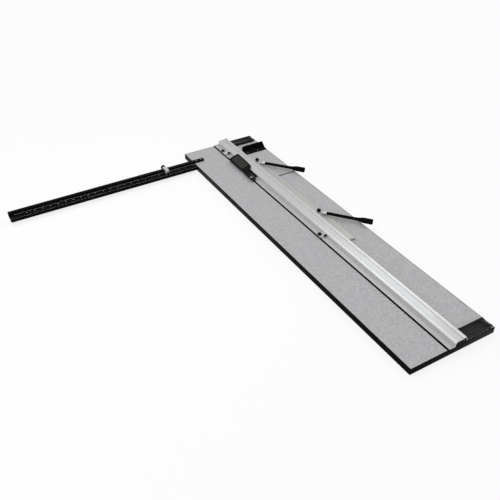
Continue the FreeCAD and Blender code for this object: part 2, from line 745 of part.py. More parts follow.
# END BRACKET at the far right
bracket_right = "(bracket_left + bracket_wide)"
bracket_end = "(bracket_y + bracket_long)"
end_bracket = prism("end_bracket", "XY", "0", "bracket_thick",
                    rectangle("bracket_left", "bracket_y", bracket_right, bracket_end))
pad(end_bracket, "XZ", "%s - bracket_thick" % bracket_end, bracket_end,
    [("bracket_left", "0"), (bracket_right, "0"), (bracket_right, "bracket_tall"),
     ("bracket_left + bracket_drop * 3", "bracket_tall"),
     ("bracket_left", "bracket_tall - bracket_drop")])
for step in range(3):
    rib_x = "(%s - bracket_rib - %d * bracket_rib * 4)" % (bracket_right, step)
    pad(end_bracket, "YZ", rib_x, "%s + bracket_rib" % rib_x,
        [("%s - bracket_thick" % bracket_end, "bracket_thick"),
         ("%s - bracket_thick" % bracket_end, "bracket_tall - 2"),
         ("bracket_y + bracket_long / 3", "bracket_thick")])
bracket_spots = []
for screw_x in ("(bracket_left + head_radius * 3)", "(bracket_left + bracket_wide * 0.6)"):
    bracket_spots.append((screw_x, "(bracket_y + head_radius * 2)"))
for screw_x, screw_y in bracket_spots:
    screw_hole(end_bracket, "0", "bracket_thick", screw_x, screw_y)
    screw_hole(baseboard, "-board_thick * 0.7", "0", screw_x, screw_y)
group("end_bracket_screws", [
    screw("end_bracket_screw", screw_x, screw_y, "bracket_thick",
          "bracket_thick + board_thick * 0.65", "head_tall", under=False)
    for screw_x, screw_y in bracket_spots])

# RAIL STOPS: a block on the flange with a lip in the rail's groove, a bumper and a knob
lip_x = "(%s + lip_deep - run_gap)" % wall_x
ride_z = "(%s + run_gap)" % flange_top
stop_right = "(%s - run_gap)" % wall_x
lip_span = ("(lip_low + run_gap)", "(lip_high - run_gap)")
for side in ("mid", "far"):
    stop_y = side + "_stop_y"
    stop_end = "(%s_stop_y + %s_stop_long)" % (side, side)
    block_top = "(%s + stop_tall)" % ride_z
    post_top = "(%s + stop_post_tall)" % block_top
    post_left = "(%s - stop_post_wide)" % stop_right
    block = prism(side + "_stop_block", "XZ", stop_y, stop_end,
                  rectangle("rail_left - stop_over", ride_z, stop_right, block_top))
    pad(block, "XZ", stop_y, "%s + %s_stop_long * 0.4" % (stop_y, side),
        rectangle(post_left, ride_z, stop_right, post_top))
    pad(block, "XZ", stop_y, stop_end,
        [(post_left, ride_z), (stop_right, ride_z), (stop_right, lip_span[0]),
         (lip_x, lip_span[0]), (lip_x, lip_span[1]), (stop_right, lip_span[1]),
         (post_left, lip_span[1])])
    knob_x = "(rail_left + stop_knob_in)"
    knob_y = "(%s - stop_knob_radius)" % stop_end
    pocket(block, "XY", ride_z, "%s + 1" % block_top,
           circle=(knob_x, knob_y, "screw_radius + run_gap"))
    turned(side + "_stop_bumper",
           [("0", "0"), ("bumper_radius", "0"), ("bumper_radius", "bumper_long"),
            ("0", "bumper_long")],
           "(%s - stop_post_wide / 2)" % stop_right, stop_y, "(%s - bumper_radius - 0.4)" % post_top,
           axis=(1, 0, 0), angle="90")
    knob(side + "_stop_knob", knob_x, knob_y, ride_z, "screw_radius", "(stop_tall + run_gap)",
         "(stop_tall + run_gap)", "(stop_tall + stop_knob_tall)", "stop_knob_radius")

# MAT GUIDE: a ribbed bar under the rail, kept square by a runner in the channel
bar_right = "(bar_left + bar_wide)"
bar_top = "(run_gap + bar_thick)"
mat_guide_bar = prism("mat_guide_bar", "XZ", "bar_near", "bar_far",
                      rectangle("bar_left", "run_gap", bar_right, bar_top))
for step in range(4):
    pitch = "((bar_wide - bar_rib) / 4)"
    hollow_left = "(bar_left + bar_rib + %d * %s)" % (step, pitch)
    if step != 3:
        pocket(mat_guide_bar, "XZ", "bar_near", "bar_far",
               rectangle(hollow_left, "run_gap", "%s + %s - bar_rib" % (hollow_left, pitch),
                         "%s - bar_skin" % bar_top))
lock_ys = {"near": "near_lever_y", "far": "far_lever_y"}
knob_ys = {"near": "near_knob_y", "far": "far_knob_y"}
for lock_y in lock_ys.values():
    pocket(mat_guide_bar, "XY", "run_gap", bar_top, circle=("lever_x", lock_y, "post_radius + run_gap"))
for knob_y in knob_ys.values():
    pocket(mat_guide_bar, "XY", "run_gap", bar_top,
           circle=("lever_x - 2", knob_y, "screw_radius + run_gap"))
dress(mat_guide_bar, "Fillet", "arm_round",
      lambda box: along_y(box) and near_to(box.ZMin, bar_top) and near_to(box.XMin, bar_right))
prism("mat_guide_end", "XZ", "bar_near - bar_end_long", "bar_near",
      rectangle("bar_left", "run_gap", bar_right, bar_top))
prism("guide_runner", "YZ", "bar_left", "bar_left + runner_long",
      rectangle("%s + channel_wall + run_gap" % channel_near, "-channel_deep + channel_wall + run_gap",
                "%s - channel_wall - run_gap" % channel_end, "run_gap"))

for side, lock_y in lock_ys.items():
    turned("lever_hub_" + side,
           [("0", "0"), ("post_radius", "0"), ("post_radius", "bar_thick + run_gap"),
            ("hub_radius", "bar_thick + run_gap"), ("hub_radius", "bar_thick + hub_tall"),
            ("0", "bar_thick + hub_tall")],
           "lever_x", lock_y, "run_gap", angle="lever_angle")
    rod_from = "(hub_radius - rod_seat)"
    rod_end = "(rod_collar + rod_long)"
    pocket(pieces[-1], "YZ", rod_from, "hub_radius + 1",
           many_sided("0", "rod_high - run_gap", "(rod_radius + screw_gap)"))
    rod = new_body("lever_rod_" + side)
    pad(rod, "YZ", rod_from, rod_end, many_sided("0", "0", "rod_radius"))
    grip = new_body("lever_grip_" + side)
    taper = pad(grip, "YZ", rod_end, "%s + grip_taper" % rod_end,
                many_sided("0", "0", "grip_neck", 16))
    taper.setExpression("TaperAngle", cell("atan((grip_radius - grip_neck) / grip_taper)"))
    pad(grip, "YZ", "%s + grip_taper" % rod_end, "%s + grip_long - rod_collar" % rod_end,
        many_sided("0", "0", "grip_radius", 16))
    for piece in (rod, grip):
        to_frame(piece, "lever_x", lock_y, "rod_high")
        piece.Placement = FreeCAD.Placement(
            piece.Placement.Base,
            FreeCAD.Rotation(FreeCAD.Vector(0, 0, 1), number("lever_angle")))
        piece.setExpression(".Placement.Rotation.Angle", cell("lever_angle"))
    doc.recompute()
    knob("bar_knob_" + side, "(lever_x - 2)", knob_ys[side], "run_gap", "screw_radius",
         "(bar_thick + run_gap)", "knob_low", "knob_top", "knob_radius")

# CUTTING HEAD: a domed hood that rides on the flange and the blade lever pivoted in it
side_x = "(%s - run_gap)" % wall_x
over_x = "(%s + head_over)" % wall_x
shoe_left = "(rail_left + 1.2)"
tail_left = "(%s - shoe_tail)" % side_x
lip_corners = [(side_x, lip_span[0]), (lip_x, lip_span[0]), (lip_x, lip_span[1]),
               (side_x, lip_span[1])]
lever_right = "(%s - head_wall - run_gap)" % side_x
lever_left = "(%s - lever_wide)" % lever_right
lever_x_mid = "(%s - lever_wide / 2)" % lever_right

head_shoe = prism("head_shoe", "XZ", "head_near", "head_far",
                  rectangle(shoe_left, ride_z, side_x, "shoe_top"))
pad(head_shoe, "XZ", "shoe_near", "head_near",
    rectangle(tail_left, ride_z, side_x, "shoe_top"))
pad(head_shoe, "XZ", "shoe_near", "head_near - tail_notch",
    [(tail_left, ride_z), (side_x, ride_z)] + lip_corners + [(tail_left, lip_span[1])])
dress(head_shoe, "Chamfer", "arm_round",
      lambda box: upright(box) and near_to(box.YMin, "shoe_near") and near_to(box.XMin, tail_left))


def above(sections):
    """Outlines of what lies over a sloping surface: place along Y, left, right, two heights."""
    return [(y, [(left, low), (right, high), (right, "head_top"), (left, "head_top")])
            for y, left, right, low, high in sections]


def shave(body, sections, ruled):
    """Cuts away what lies above a surface lofted through the sections."""
    sketches = []
    for y, points in above(sections):
        sketch = new_sketch(body, "XZ", y)
        draw_lines(sketch, points)
        sketch.Visibility = False
        sketches.append(sketch)
    doc.recompute()
    feature = body.newObject("PartDesign::SubtractiveLoft", body.Label + "_shaved")
    feature.Profile = sketches[0]
    feature.Sections = sketches[1:]
    feature.Ruled = ruled
    doc.recompute()
    return feature


head_housing = prism(
    "head_housing", "XZ", "head_near", "head_far",
    [("head_left", "head_skirt"), ("%s - press_gap" % shoe_left, "head_skirt"),
     ("%s - press_gap" % shoe_left, "shoe_top"), (side_x, "shoe_top")] + lip_corners
    + [(side_x, "%s + run_gap" % shoulder_z), (crown_x, "rail_top + press_gap"),
       (over_x, "rail_top + press_gap"), (over_x, "head_top - 1"), ("head_left", "head_top - 1")])
dress(head_housing, "Fillet", "head_round",
      lambda box: upright(box) and near_to(box.YMin, "head_far")
      and (near_to(box.XMin, "head_left") or near_to(box.XMin, over_x)))
shave(head_housing, [
    ("head_near", "head_left", over_x, "crest_left_near", "crest_right_near"),
    ("crest_mid_y", "head_left", over_x, "crest_left_mid", "crest_right_mid"),
    ("head_far", "head_left", over_x, "crest_left_far", "crest_right_far")], False)

# The palm panel is let into the top of the hood inside a raised rim.
panel_left = "(head_left + panel_rim)"
panel_right = "(%s - panel_rim)" % over_x
panel_near = "(head_near + panel_near_in)"
panel_far = "(head_far - panel_far_in)"
panel_sections = []
for y, share in ((panel_near, "panel_near_in / crest_mid_in"), ("crest_mid_y", "1"), (panel_far, "2")):
    heights = []
    for x in (panel_left, panel_right):
        across = "(%s - head_left) / (%s - head_left)" % (x, over_x)
        levels = ["(crest_left_%s + (crest_right_%s - crest_left_%s) * %s)"
                  % (end, end, end, across) for end in ("near", "mid", "far")]
        if share == "2":
            heights.append("%s - panel_deep" % levels[2])
        else:
            heights.append("%s + (%s - %s) * %s - panel_deep"
                           % (levels[0], levels[1], levels[0], share))
    panel_sections.append((y, panel_left, panel_right, heights[0], heights[1]))
shave(head_housing, panel_sections, False)
pocket(head_housing, "XY", "head_skirt", "slot_top",
       rectangle("%s - run_gap" % lever_left, "head_near - 1",
                 "%s + run_gap" % lever_right, "axle_y + lever_tail_long + 1.5"))
pocket(head_housing, "XY", "slot_top", "spring_top",
       many_sided(lever_x_mid, "spring_y", "(spring_radius + wire_radius + run_gap)"))
pocket(head_housing, "YZ", "%s - axle_seat" % lever_left, "%s + 1" % side_x,
       circle=("axle_y", "axle_high", "axle_radius + pin_gap"))

# The blade lever: a hub in the slot, a sloping shoulder in front and the nose.
shoulder_end = "(head_near - nose_gap)"
nose_right = "(nose_left + nose_wide)"
flange_side = "(rail_left - press_gap)"
press_arm = prism("press_arm", "XY", "lever_low", "lever_top",
                  rectangle(lever_left, "%s - 1" % shoulder_end, lever_right, "axle_y"))
pad(press_arm, "XY", "lever_tail_low", "lever_tail_top",
    rectangle(lever_left, "axle_y", lever_right, "axle_y + lever_tail_long"))
pad(press_arm, "YZ", lever_left, lever_right, circle=("axle_y", "axle_high", "lever_hub"))
pad(press_arm, "XY", "shoulder_low", "crest_right_near",
    [("nose_left", "shoulder_y"), (nose_right, "shoulder_y"), ("shoulder_right", shoulder_end),
     ("head_left", shoulder_end)])
pad(press_arm, "XY", "nose_low", "nose_step",
    [("nose_left", "shoulder_y"), (flange_side, "shoulder_y"), (flange_side, shoulder_end),
     ("head_left", shoulder_end)])
pad(press_arm, "XY", "nose_step", "shoulder_low",
    [("nose_left", "shoulder_y"), (nose_right, "shoulder_y"),
     ("%s - press_gap" % tail_left, shoulder_end), ("head_left", shoulder_end)])
shave(press_arm, [
    ("shoulder_y", "nose_left - 1", over_x, "nose_top", "nose_top"),
    ("head_near", "nose_left - 1", over_x, "crest_left_near", "crest_right_near")], True)
pad(press_arm, "XZ", "nose_near", "shoulder_y",
    [("nose_left", "nose_low"), (flange_side, "nose_low"), (flange_side, "nose_step"),
     (nose_right, "nose_step"), (nose_right, "nose_top"), ("nose_left", "nose_top")])
dress(press_arm, "Fillet", "nose_round",
      lambda box: upright(box) and near_to(box.YMin, "nose_near")
      and (near_to(box.XMin, "nose_left") or near_to(box.XMin, nose_right)))
pocket(press_arm, "YZ", "%s - 1" % lever_left, "%s + 1" % lever_right,
       circle=("axle_y", "axle_high", "axle_radius + pin_gap"))

# The blade hangs over the slot in the board, held from the left by a steel block.
blade_right = "(slot_left + slot_wide / 2 + blade_thick / 2)"
blade_left = "(%s - blade_thick)" % blade_right
holder_left = "(%s - holder_wide)" % blade_left
blade_end = "(blade_near + blade_wide)"
clamp_x = "(%s - holder_wide / 2)" % blade_left
pocket(press_arm, "XY", "nose_low", "holder_top",
       rectangle(holder_left, "blade_near", blade_right, blade_end))
screw_hole(press_arm, "holder_top - 0.1", "nose_top", clamp_x, "clamp_y")
blade_holder = prism("blade_holder", "XY", "nose_low", "holder_top",
                     rectangle(holder_left, "blade_near", blade_left, blade_end))
screw_hole(blade_holder, "nose_low", "holder_top", clamp_x, "clamp_y")
blade = prism("blade", "YZ", blade_left, blade_right,
              [("blade_near", "holder_top"), (blade_end, "holder_top"), (blade_end, "nose_low"),
               ("blade_near + blade_wide / 3", "blade_tip"), ("blade_near", "nose_low")])
blade_screw = new_body("blade_screw")
pad(blade_screw, "XY", "0", "nose_top - nose_low", many_sided("0", "0", "screw_radius"))
pad(blade_screw, "XY", "nose_top - nose_low", "nose_top - nose_low + clamp_tall",
    circle=("0", "0", "clamp_radius"))
to_frame(blade_screw, clamp_x, "clamp_y", "nose_low")

axle_long = "(%s - %s + axle_seat)" % (side_x, lever_left)
turned("head_axle",
       [("0", "0"), ("axle_radius", "0"), ("axle_radius", axle_long), ("0", axle_long)],
       "%s - axle_seat" % lever_left, "axle_y", "axle_high", **ALONG_X)

# Two screws from under the shoe hold the hood; the depth screw stands below the lever.
head_screws = []
for screw_y in ("(axle_y + head_screw_step * 2 / 3)", "(axle_y + head_screw_step * 5 / 3)"):
    for body, low, high in ((head_shoe, ride_z, "shoe_top"),
                            (head_housing, "shoe_top", "head_screw_top")):
        screw_hole(body, low, high, lever_x_mid, screw_y)
    screw_hole(head_shoe, ride_z, "%s + head_tall * 0.7" % ride_z, lever_x_mid, screw_y,
               "head_radius")
    head_screws.append(screw(
        "head_screw", lever_x_mid, screw_y, "%s + head_tall * 0.7" % ride_z,
        "head_screw_top - %s - head_tall * 0.7" % ride_z, "head_tall * 0.6"))
group("head_screws", head_screws)
screw_hole(head_shoe, ride_z, "shoe_top", lever_x_mid, "depth_y")
depth_screw = prism("depth_screw", "XY", "0", "depth_top - %s" % ride_z,
                    many_sided("0", "0", "screw_radius"))
to_frame(depth_screw, lever_x_mid, "depth_y", ride_z)

# The coil spring is out of sight in its pocket, so its solid is the sleeve that it fills.
return_spring = prism("return_spring", "XY", "0", "spring_top - lever_tail_top",
                      many_sided("0", "0", "(spring_radius + wire_radius)"))
pocket(return_spring, "XY", "0", "spring_top - lever_tail_top",
       many_sided("0", "0", "(spring_radius - wire_radius)"))
to_frame(return_spring, lever_x_mid, "spring_y", "lever_tail_top")

# WRITING
doc.recompute()
for item in doc.Objects:
    if "Invalid" in item.State or "Error" in item.State:
        raise RuntimeError("%s is not built: %s" % (item.Label, item.State))
os.makedirs("parts", exist_ok=True)
labels = [piece.Label for piece in pieces]
if len(set(labels)) != len(labels):
    raise RuntimeError("two pieces share a name")
for piece in pieces:
    shape = piece.Shape
    if shape.isNull() or not shape.isValid() or not shape.Solids:
        raise RuntimeError("%s has no valid solid" % piece.Label)
    shape.exportStep("parts/%s.step" % piece.Label)
    box = shape.BoundBox
    print("%-22s %2d solids %9.1f mm3  x %7.1f %7.1f  y %7.1f %7.1f  z %6.1f %6.1f" % (
        piece.Label, len(shape.Solids), shape.Volume,
        box.XMin, box.XMax, box.YMin, box.YMax, box.ZMin, box.ZMax))
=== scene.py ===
import json
import math

import bmesh
import bpy
from mathutils import Matrix, Vector
from mathutils.bvhtree import BVHTree

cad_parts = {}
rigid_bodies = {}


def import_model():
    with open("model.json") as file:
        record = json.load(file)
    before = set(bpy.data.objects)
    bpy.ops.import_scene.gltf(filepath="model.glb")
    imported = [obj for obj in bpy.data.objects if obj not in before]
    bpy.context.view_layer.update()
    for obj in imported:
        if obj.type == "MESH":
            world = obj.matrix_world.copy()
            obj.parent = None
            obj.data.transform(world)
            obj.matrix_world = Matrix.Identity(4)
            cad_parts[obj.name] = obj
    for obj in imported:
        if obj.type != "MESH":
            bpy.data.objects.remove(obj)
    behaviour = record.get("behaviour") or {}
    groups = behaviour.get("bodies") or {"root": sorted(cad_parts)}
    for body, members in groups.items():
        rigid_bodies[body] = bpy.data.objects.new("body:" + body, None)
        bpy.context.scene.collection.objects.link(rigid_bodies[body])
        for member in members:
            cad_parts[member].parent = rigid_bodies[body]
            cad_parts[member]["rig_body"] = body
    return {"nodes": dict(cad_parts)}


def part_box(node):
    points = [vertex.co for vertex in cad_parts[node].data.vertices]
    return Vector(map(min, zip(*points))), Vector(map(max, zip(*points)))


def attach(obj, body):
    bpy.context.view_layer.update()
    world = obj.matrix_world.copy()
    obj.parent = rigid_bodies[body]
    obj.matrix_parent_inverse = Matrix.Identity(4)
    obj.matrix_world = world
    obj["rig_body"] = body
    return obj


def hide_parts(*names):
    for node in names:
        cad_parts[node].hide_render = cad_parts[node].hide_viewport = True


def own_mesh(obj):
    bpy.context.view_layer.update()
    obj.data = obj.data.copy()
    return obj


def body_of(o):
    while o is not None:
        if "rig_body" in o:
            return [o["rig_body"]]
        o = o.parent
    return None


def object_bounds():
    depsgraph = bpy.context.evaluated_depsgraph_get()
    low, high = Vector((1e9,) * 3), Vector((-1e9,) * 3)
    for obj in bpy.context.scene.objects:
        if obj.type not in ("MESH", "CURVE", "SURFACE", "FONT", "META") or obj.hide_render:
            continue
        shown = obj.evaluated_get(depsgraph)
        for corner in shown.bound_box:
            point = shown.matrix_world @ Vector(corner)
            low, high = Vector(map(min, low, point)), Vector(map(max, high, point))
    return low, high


bl_info = {
    "name": "Mat cutter",
    "version": (1, 0, 0),
    "blender": (4, 5, 0),
    "location": "View3D > Sidebar > Mat cutter",
    "description": "Dresses a board-mounted mat cutter and sets up its studio",
    "category": "Object",
}

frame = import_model()
NODES = frame["nodes"]
CAD_LOW, CAD_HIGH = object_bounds()
SLOTS = {name: node.data.materials[0].name for name, node in NODES.items()}
MM = 0.001
INCH = 25.4
HERE = Matrix.Identity(4)
WHITE = (1.0, 1.0, 1.0, 1.0)

# Lengths on the pieces in millimetres, places from the low corner of the piece
STRIP_LEFT = 27.2
STRIP_WIDE = 14.5
STRIP_SEAT = 15.9
STRIP_NEAR = 98.0
STRIP_LONG = 282.0
STRIP_SUNK = 0.05
STRIP_PROUD = 0.18
FLANGE_WIDE = 18.6
FLANGE_TALL = 2.2
# Width in from the rail's left side whose faces get the black painted shadow
PAINTED_SHADOW_WIDE = 0.3
HUB_TALL = 10.5
HUB_NECK = 3.0
HUB_CORNER = 1.6
HUB_DIP = 0.6
HOOD_CORNER = 8.0
PANEL_LEFT = 4.2
PANEL_WIDE = 26.0
PANEL_NEAR = 14.5
PANEL_LONG = 75.0
PANEL_CORNER = 5.0
PANEL_PROUD = 0.45
PANEL_THICK = 0.6
RIB_PITCH = 4.2
RIB_INSET = 3.0
RIB_START = 5.0
RIB_ROOM = PANEL_LONG - 8.0
RIB_RADIUS = 0.55
LEDGE_WIDE = 29.5
FIRST_MARK = -0.6 * INCH
ARM_END = 10.0
MARK_WIDE = 0.7
MARK_TALL = 0.1
NUMBER_SIZE = 4.6
NUMBER_DEEP = 0.03
NUMBER_LINE = 10.5
# Place and width of the pale line near the arm's front edge, which is a painted highlight
HIGHLIGHT_LINE_IN = 5.0
HIGHLIGHT_LINE_DOWN = 0.42
HIGHLIGHT_LINE_WIDE = 0.8
COLLAR_RADIUS = 5.8
SPRING_WIRE = 0.35

# Counts, and the rounding of the blank strip's ends as a share of its half width
PANEL_ROWS = 40
PANEL_COLUMNS = 16
SPRING_TURNS = 5.0
FEET_SEED = 3
STRIP_ROUND = 0.25

# Steps between the marks in inches, and how long the marks are in millimetres
MARK_ROWS = ((1.0, 6.5), (0.5, 4.5), (0.125, 2.6))

# How much fuller the photograph shows a piece than its solid is, as a factor and, for
# the knobs, in millimetres
GRIP_SWELL = 1.12
BUMPER_SWELL = 1.3
STOP_KNOB_WIDER = 1.4
ARM_KNOB_WIDER = 0.8

# The lever rod's radius, and its place as a share of the rod and millimetres past that
ROD_PROFILE = (
    (0.0, 0.0, 0.0), (4.4, 0.0, 0.0), (5.0, 0.0, 1.2), (5.0, 0.5, 0.0), (5.0, 1.0, -6.0),
    (5.4, 1.0, -3.0), (5.4, 1.0, 0.0), (3.4, 1.0, 0.5), (3.4, 1.0, 4.0), (0.0, 1.0, 4.0))

# The grip's radius along its length, both as shares of the whole
GRIP_PROFILE = (
    (0.0, 0.0), (0.56, 0.0), (0.61, 0.02), (0.64, 0.08), (0.72, 0.18), (0.87, 0.28),
    (0.97, 0.36), (1.0, 0.44), (1.0, 0.94), (0.98, 0.97), (0.90, 0.988), (0.78, 1.0),
    (0.0, 1.0))

# How metals are drawn; the small number stands for the direction of the lines
ALONG_X = (3.0, 1100.0, 1100.0)
ALONG_Y = (700.0, 2.0, 700.0)

# How meshes are made: the largest gap between doubled corners in metres, then in degrees
# the largest bend of a flat face, the least bend of an edge that is rounded, and the
# bends up to which turned and rounded pieces are shaded smoothly
WELD = 2e-6
FLAT = 0.5
SHARP = 28.0
TURNED_SHADE = 32.0
ROUNDED_SHADE = 40.0
FEW_SIDES = 32
MANY_SIDES = 48
RIM_STEPS = 4

# The studio: the picture's width in pixels, the sensor's in millimetres, lengths in metres,
# shares of white, and each lamp's place, width and power
PHOTO_WIDE = 500
SENSOR_WIDE = 36.0
FAR_CLIP = 50.0
FLOOR_HALF = 6.0
FLOOR_WHITE = 0.82
FLOOR_FADE = (1.6, 4.6)
SKY_LEVEL = 0.65
AIM = Vector((0.116, 0.586, 0.0))
LAMPS = {
    "top lamp": ((-0.95, 0.95, 2.0), 2.0, 17.0),
    "side lamp": ((-2.08, -0.61, 1.5), 1.6, 4.0),
    "rail lamp": ((1.7, 1.2, 1.9), 1.6, 8.8),
}


# Sizes and colours that a user may change

def millimetres(name, description, default):
    """A length property whose default is given in millimetres."""
    return bpy.props.FloatProperty(
        name=name, description=description, default=default * MM, unit="LENGTH", precision=5)


def degrees(name, description, default):
    """An angle property whose default is given in degrees."""
    return bpy.props.FloatProperty(
        name=name, description=description, default=math.radians(default), subtype="ANGLE",
        unit="ROTATION")


def colour(name, description, default):
    """A colour property."""
    return bpy.props.FloatVectorProperty(
        name=name, description=description, default=default, subtype="COLOR", size=3,
        min=0.0, max=1.0)


class MatCutterColours(bpy.types.PropertyGroup):
    """The finishes of the mat cutter."""

    laminate: colour("Laminate", "Pale grey face of the board", (0.492, 0.484, 0.497))
    edging: colour("Edging", "Black edging round the board", (0.0040, 0.0040, 0.0045))
    rail: colour("Rail", "Anodised guide rail", (0.608, 0.616, 0.612))
    bar: colour("Mat guide", "Anodised mat guide bar", (0.470, 0.470, 0.450))
    black: colour("Black plastic", "Moulded black plastic", (0.0026, 0.0026, 0.0034))
    palm: colour("Palm panel", "Dark grey panel on top of the head", (0.036, 0.040, 0.033))
    channel: colour("Guide channel", "Dark grey channel in the board", (0.29, 0.29, 0.29))
    # Also the colour of the painted highlight along the arm's front edge
    ink: colour("Graduations", "Pale marks on the squaring arm", (0.60, 0.60, 0.58))
    steel: colour("Steel", "Bright plated steel", (0.56, 0.56, 0.55))
    strip: colour("Blank strip", "Plain strip on top of the rail", (0.70, 0.72, 0.74))
    ground: colour("Floor", "Pale studio floor", (0.9, 0.9, 0.9))


class MatCutterSizes(bpy.types.PropertyGroup):
    """Sizes that the photograph or the product gives."""

    focal: bpy.props.FloatProperty(
        name="Focal length", description="Lens in pixels of a 500 pixel wide picture",
        default=627.15)
    azimuth: degrees(
        "Azimuth", "Direction that the camera looks in, from +Y towards +X", 30.153)
    elevation: degrees("Elevation", "Height of the camera above the horizon", 37.107)
    roll: degrees("Roll", "Turn of the camera about its own axis", 0.306)
    camera_x: millimetres("Camera X", "Camera position across the board", -848.94)
    camera_y: millimetres("Camera Y", "Camera position along the board", -699.45)
    camera_z: millimetres("Camera Z", "Camera height", 1131.03)


def sizes():
    """The sizes as the user has set them."""
    return bpy.context.scene.mat_cutter_sizes


def colours():
    """The colours as the user has set them."""
    return bpy.context.scene.mat_cutter_colours


# Node trees

def new_tree(name, kind, inputs, outputs):
    """An empty node group and its inputs; the sockets are given by name and kind."""
    tree = bpy.data.node_groups.new(name, kind)
    for way, sockets in (("INPUT", inputs), ("OUTPUT", outputs)):
        for socket, holds in sockets.items():
            tree.interface.new_socket(socket, in_out=way, socket_type="NodeSocket" + holds)
    return tree, tree.nodes.new("NodeGroupInput").outputs


def wire(tree, node, wires):
    """Links a node's inputs to other nodes' sockets, or sets them to plain values."""
    for socket, source in wires.items():
        for each in source if isinstance(source, list) else [source]:
            if isinstance(each, bpy.types.NodeSocket):
                tree.links.new(each, node.inputs[socket])
            else:
                node.inputs[socket].default_value = each


def add_node(tree, kind, wires, **settings):
    """Adds a node with its settings and wires, and gives back its outputs."""
    node = tree.nodes.new(kind)
    for setting, value in settings.items():
        setattr(node, setting, value)
    wire(tree, node, wires)
    return node.outputs


def object_place(tree):
    """The place of a point on the object."""
    return add_node(tree, "ShaderNodeTexCoord", {})["Object"]


def noise(tree, vector, scale, detail, roughness):
    """Smooth noise between 0 and 1."""
    return add_node(tree, "ShaderNodeTexNoise", {
        "Vector": vector, "Scale": scale, "Detail": detail, "Roughness": roughness})["Fac"]


def ranged(tree, value, low=0.0, high=1.0, first=0.0, last=1.0):
    """Maps a value between low and high to one between first and last."""
    return add_node(tree, "ShaderNodeMapRange", {
        "Value": value, "From Min": low, "From Max": high, "To Min": first,
        "To Max": last})["Result"]


def larger(tree, first, second):
    """The larger of two values."""
    return add_node(tree, "ShaderNodeMath", {0: first, 1: second}, operation="MAXIMUM")[0]


def blended(tree, mask, first, second):
    """A colour between two, chosen by a mask."""
    return add_node(tree, "ShaderNodeMix", {
        "A": (*first, 1.0), "B": (*second, 1.0), "Factor": mask}, data_type="RGBA")["Result"]


def multiplied(tree, first, second):
    """Two colours multiplied."""
    return add_node(tree, "ShaderNodeMix", {"A": first, "B": second, "Factor": 1.0},
                    data_type="RGBA", blend_type="MULTIPLY")["Result"]


# Shared effects as node groups

def speckle_group():
    """Grains of two sizes, as in a printed laminate or a moulded texture."""
    tree, inputs = new_tree("Speckle", "ShaderNodeTree", {"Vector": "Vector", "Scale": "Float"},
                            {"Grain": "Float", "Cloud": "Float"})
    grain = noise(tree, inputs["Vector"], inputs["Scale"], 2.0, 0.7)
    cloud = noise(tree, inputs["Vector"], 9.0, 3.0, 0.5)
    add_node(tree, "NodeGroupOutput", {"Grain": ranged(tree, grain, 0.34, 0.66),
                                       "Cloud": ranged(tree, cloud, 0.3, 0.7)})
    return tree


def drawn_group():
    """Fine lines left along an extrusion or a turned or brushed piece."""
    tree, inputs = new_tree("Drawn lines", "ShaderNodeTree",
                            {"Vector": "Vector", "Stretch": "Vector"},
                            {"Lines": "Float", "Height": "Float"})
    long = add_node(tree, "ShaderNodeVectorMath", {0: inputs["Vector"], 1: inputs["Stretch"]},
                    operation="MULTIPLY")[0]
    lines = noise(tree, long, 1.0, 2.0, 0.6)
    add_node(tree, "NodeGroupOutput", {"Lines": ranged(tree, lines, 0.3, 0.7),
                                       "Height": noise(tree, long, 2.3, 1.0, 0.5)})
    return tree


def handling_group():
    """Slow patches where hands and cleaning have changed the gloss."""
    tree, inputs = new_tree("Handling", "ShaderNodeTree", {"Vector": "Vector"},
                            {"Patches": "Float"})
    patches = noise(tree, inputs["Vector"], 26.0, 4.0, 0.6)
    add_node(tree, "NodeGroupOutput", {"Patches": ranged(tree, patches, 0.35, 0.65)})
    return tree


MADE = {}


def shared(maker):
    """What a maker makes, made only once."""
    if maker not in MADE:
        MADE[maker] = maker()
    return MADE[maker]


def effect(tree, maker, wires):
    """One of the shared effects, placed in a material; gives back its outputs."""
    return add_node(tree, "ShaderNodeGroup", wires, node_tree=shared(maker))


# Finishes

def shade(base, factor):
    """A colour made lighter or darker."""
    return tuple(min(1.0, part * factor) for part in base)


def finish(name, base, metallic=0.0, rough=(0.4, 0.5), drawn=None, scale=900.0,
           contrast=0.08, bump=0.0, specular=0.5):
    """A surface with grains or drawn lines, patches of gloss and fine relief.

    Drawn gives the direction of the lines; without it the scale is that of the grains."""
    material = bpy.data.materials.new(name)
    material.use_nodes = True
    tree = material.node_tree
    place = object_place(tree)
    if drawn:
        lines = effect(tree, drawn_group, {"Vector": place, "Stretch": drawn})
        mask, height = lines["Lines"], lines["Height"]
    else:
        mask = effect(tree, speckle_group, {"Vector": place, "Scale": scale})["Grain"]
        height = mask
    patches = effect(tree, handling_group, {"Vector": place})["Patches"]
    wires = {"Metallic": metallic, "Specular IOR Level": specular,
             "Roughness": ranged(tree, patches, first=rough[0], last=rough[1]),
             "Base Color": blended(tree, mask, shade(base, 1.0 - contrast),
                                   shade(base, 1.0 + contrast))}
    if bump:
        wires["Normal"] = add_node(tree, "ShaderNodeBump", {
            "Strength": bump, "Distance": 0.1 * MM, "Height": height})["Normal"]
    wire(tree, tree.nodes["Principled BSDF"], wires)
    return material


def plated_steel():
    """Bright steel of screws, pins and hubs."""
    return finish("Plated steel", colours().steel, metallic=0.9, rough=(0.22, 0.34),
                  drawn=(300.0, 300.0, 1400.0), contrast=0.1, bump=0.08)


def stop_metal():
    """Anodised metal of the stops' blocks."""
    return finish("Stop block", colours().rail, metallic=0.4, rough=(0.3, 0.4),
                  drawn=(900.0, 40.0, 900.0), bump=0.1)


def knob_plastic():
    """Black moulding of the knobs."""
    return finish("Knob moulding", colours().black, rough=(0.24, 0.36), scale=2000.0,
                  contrast=0.3, bump=0.08, specular=0.06)


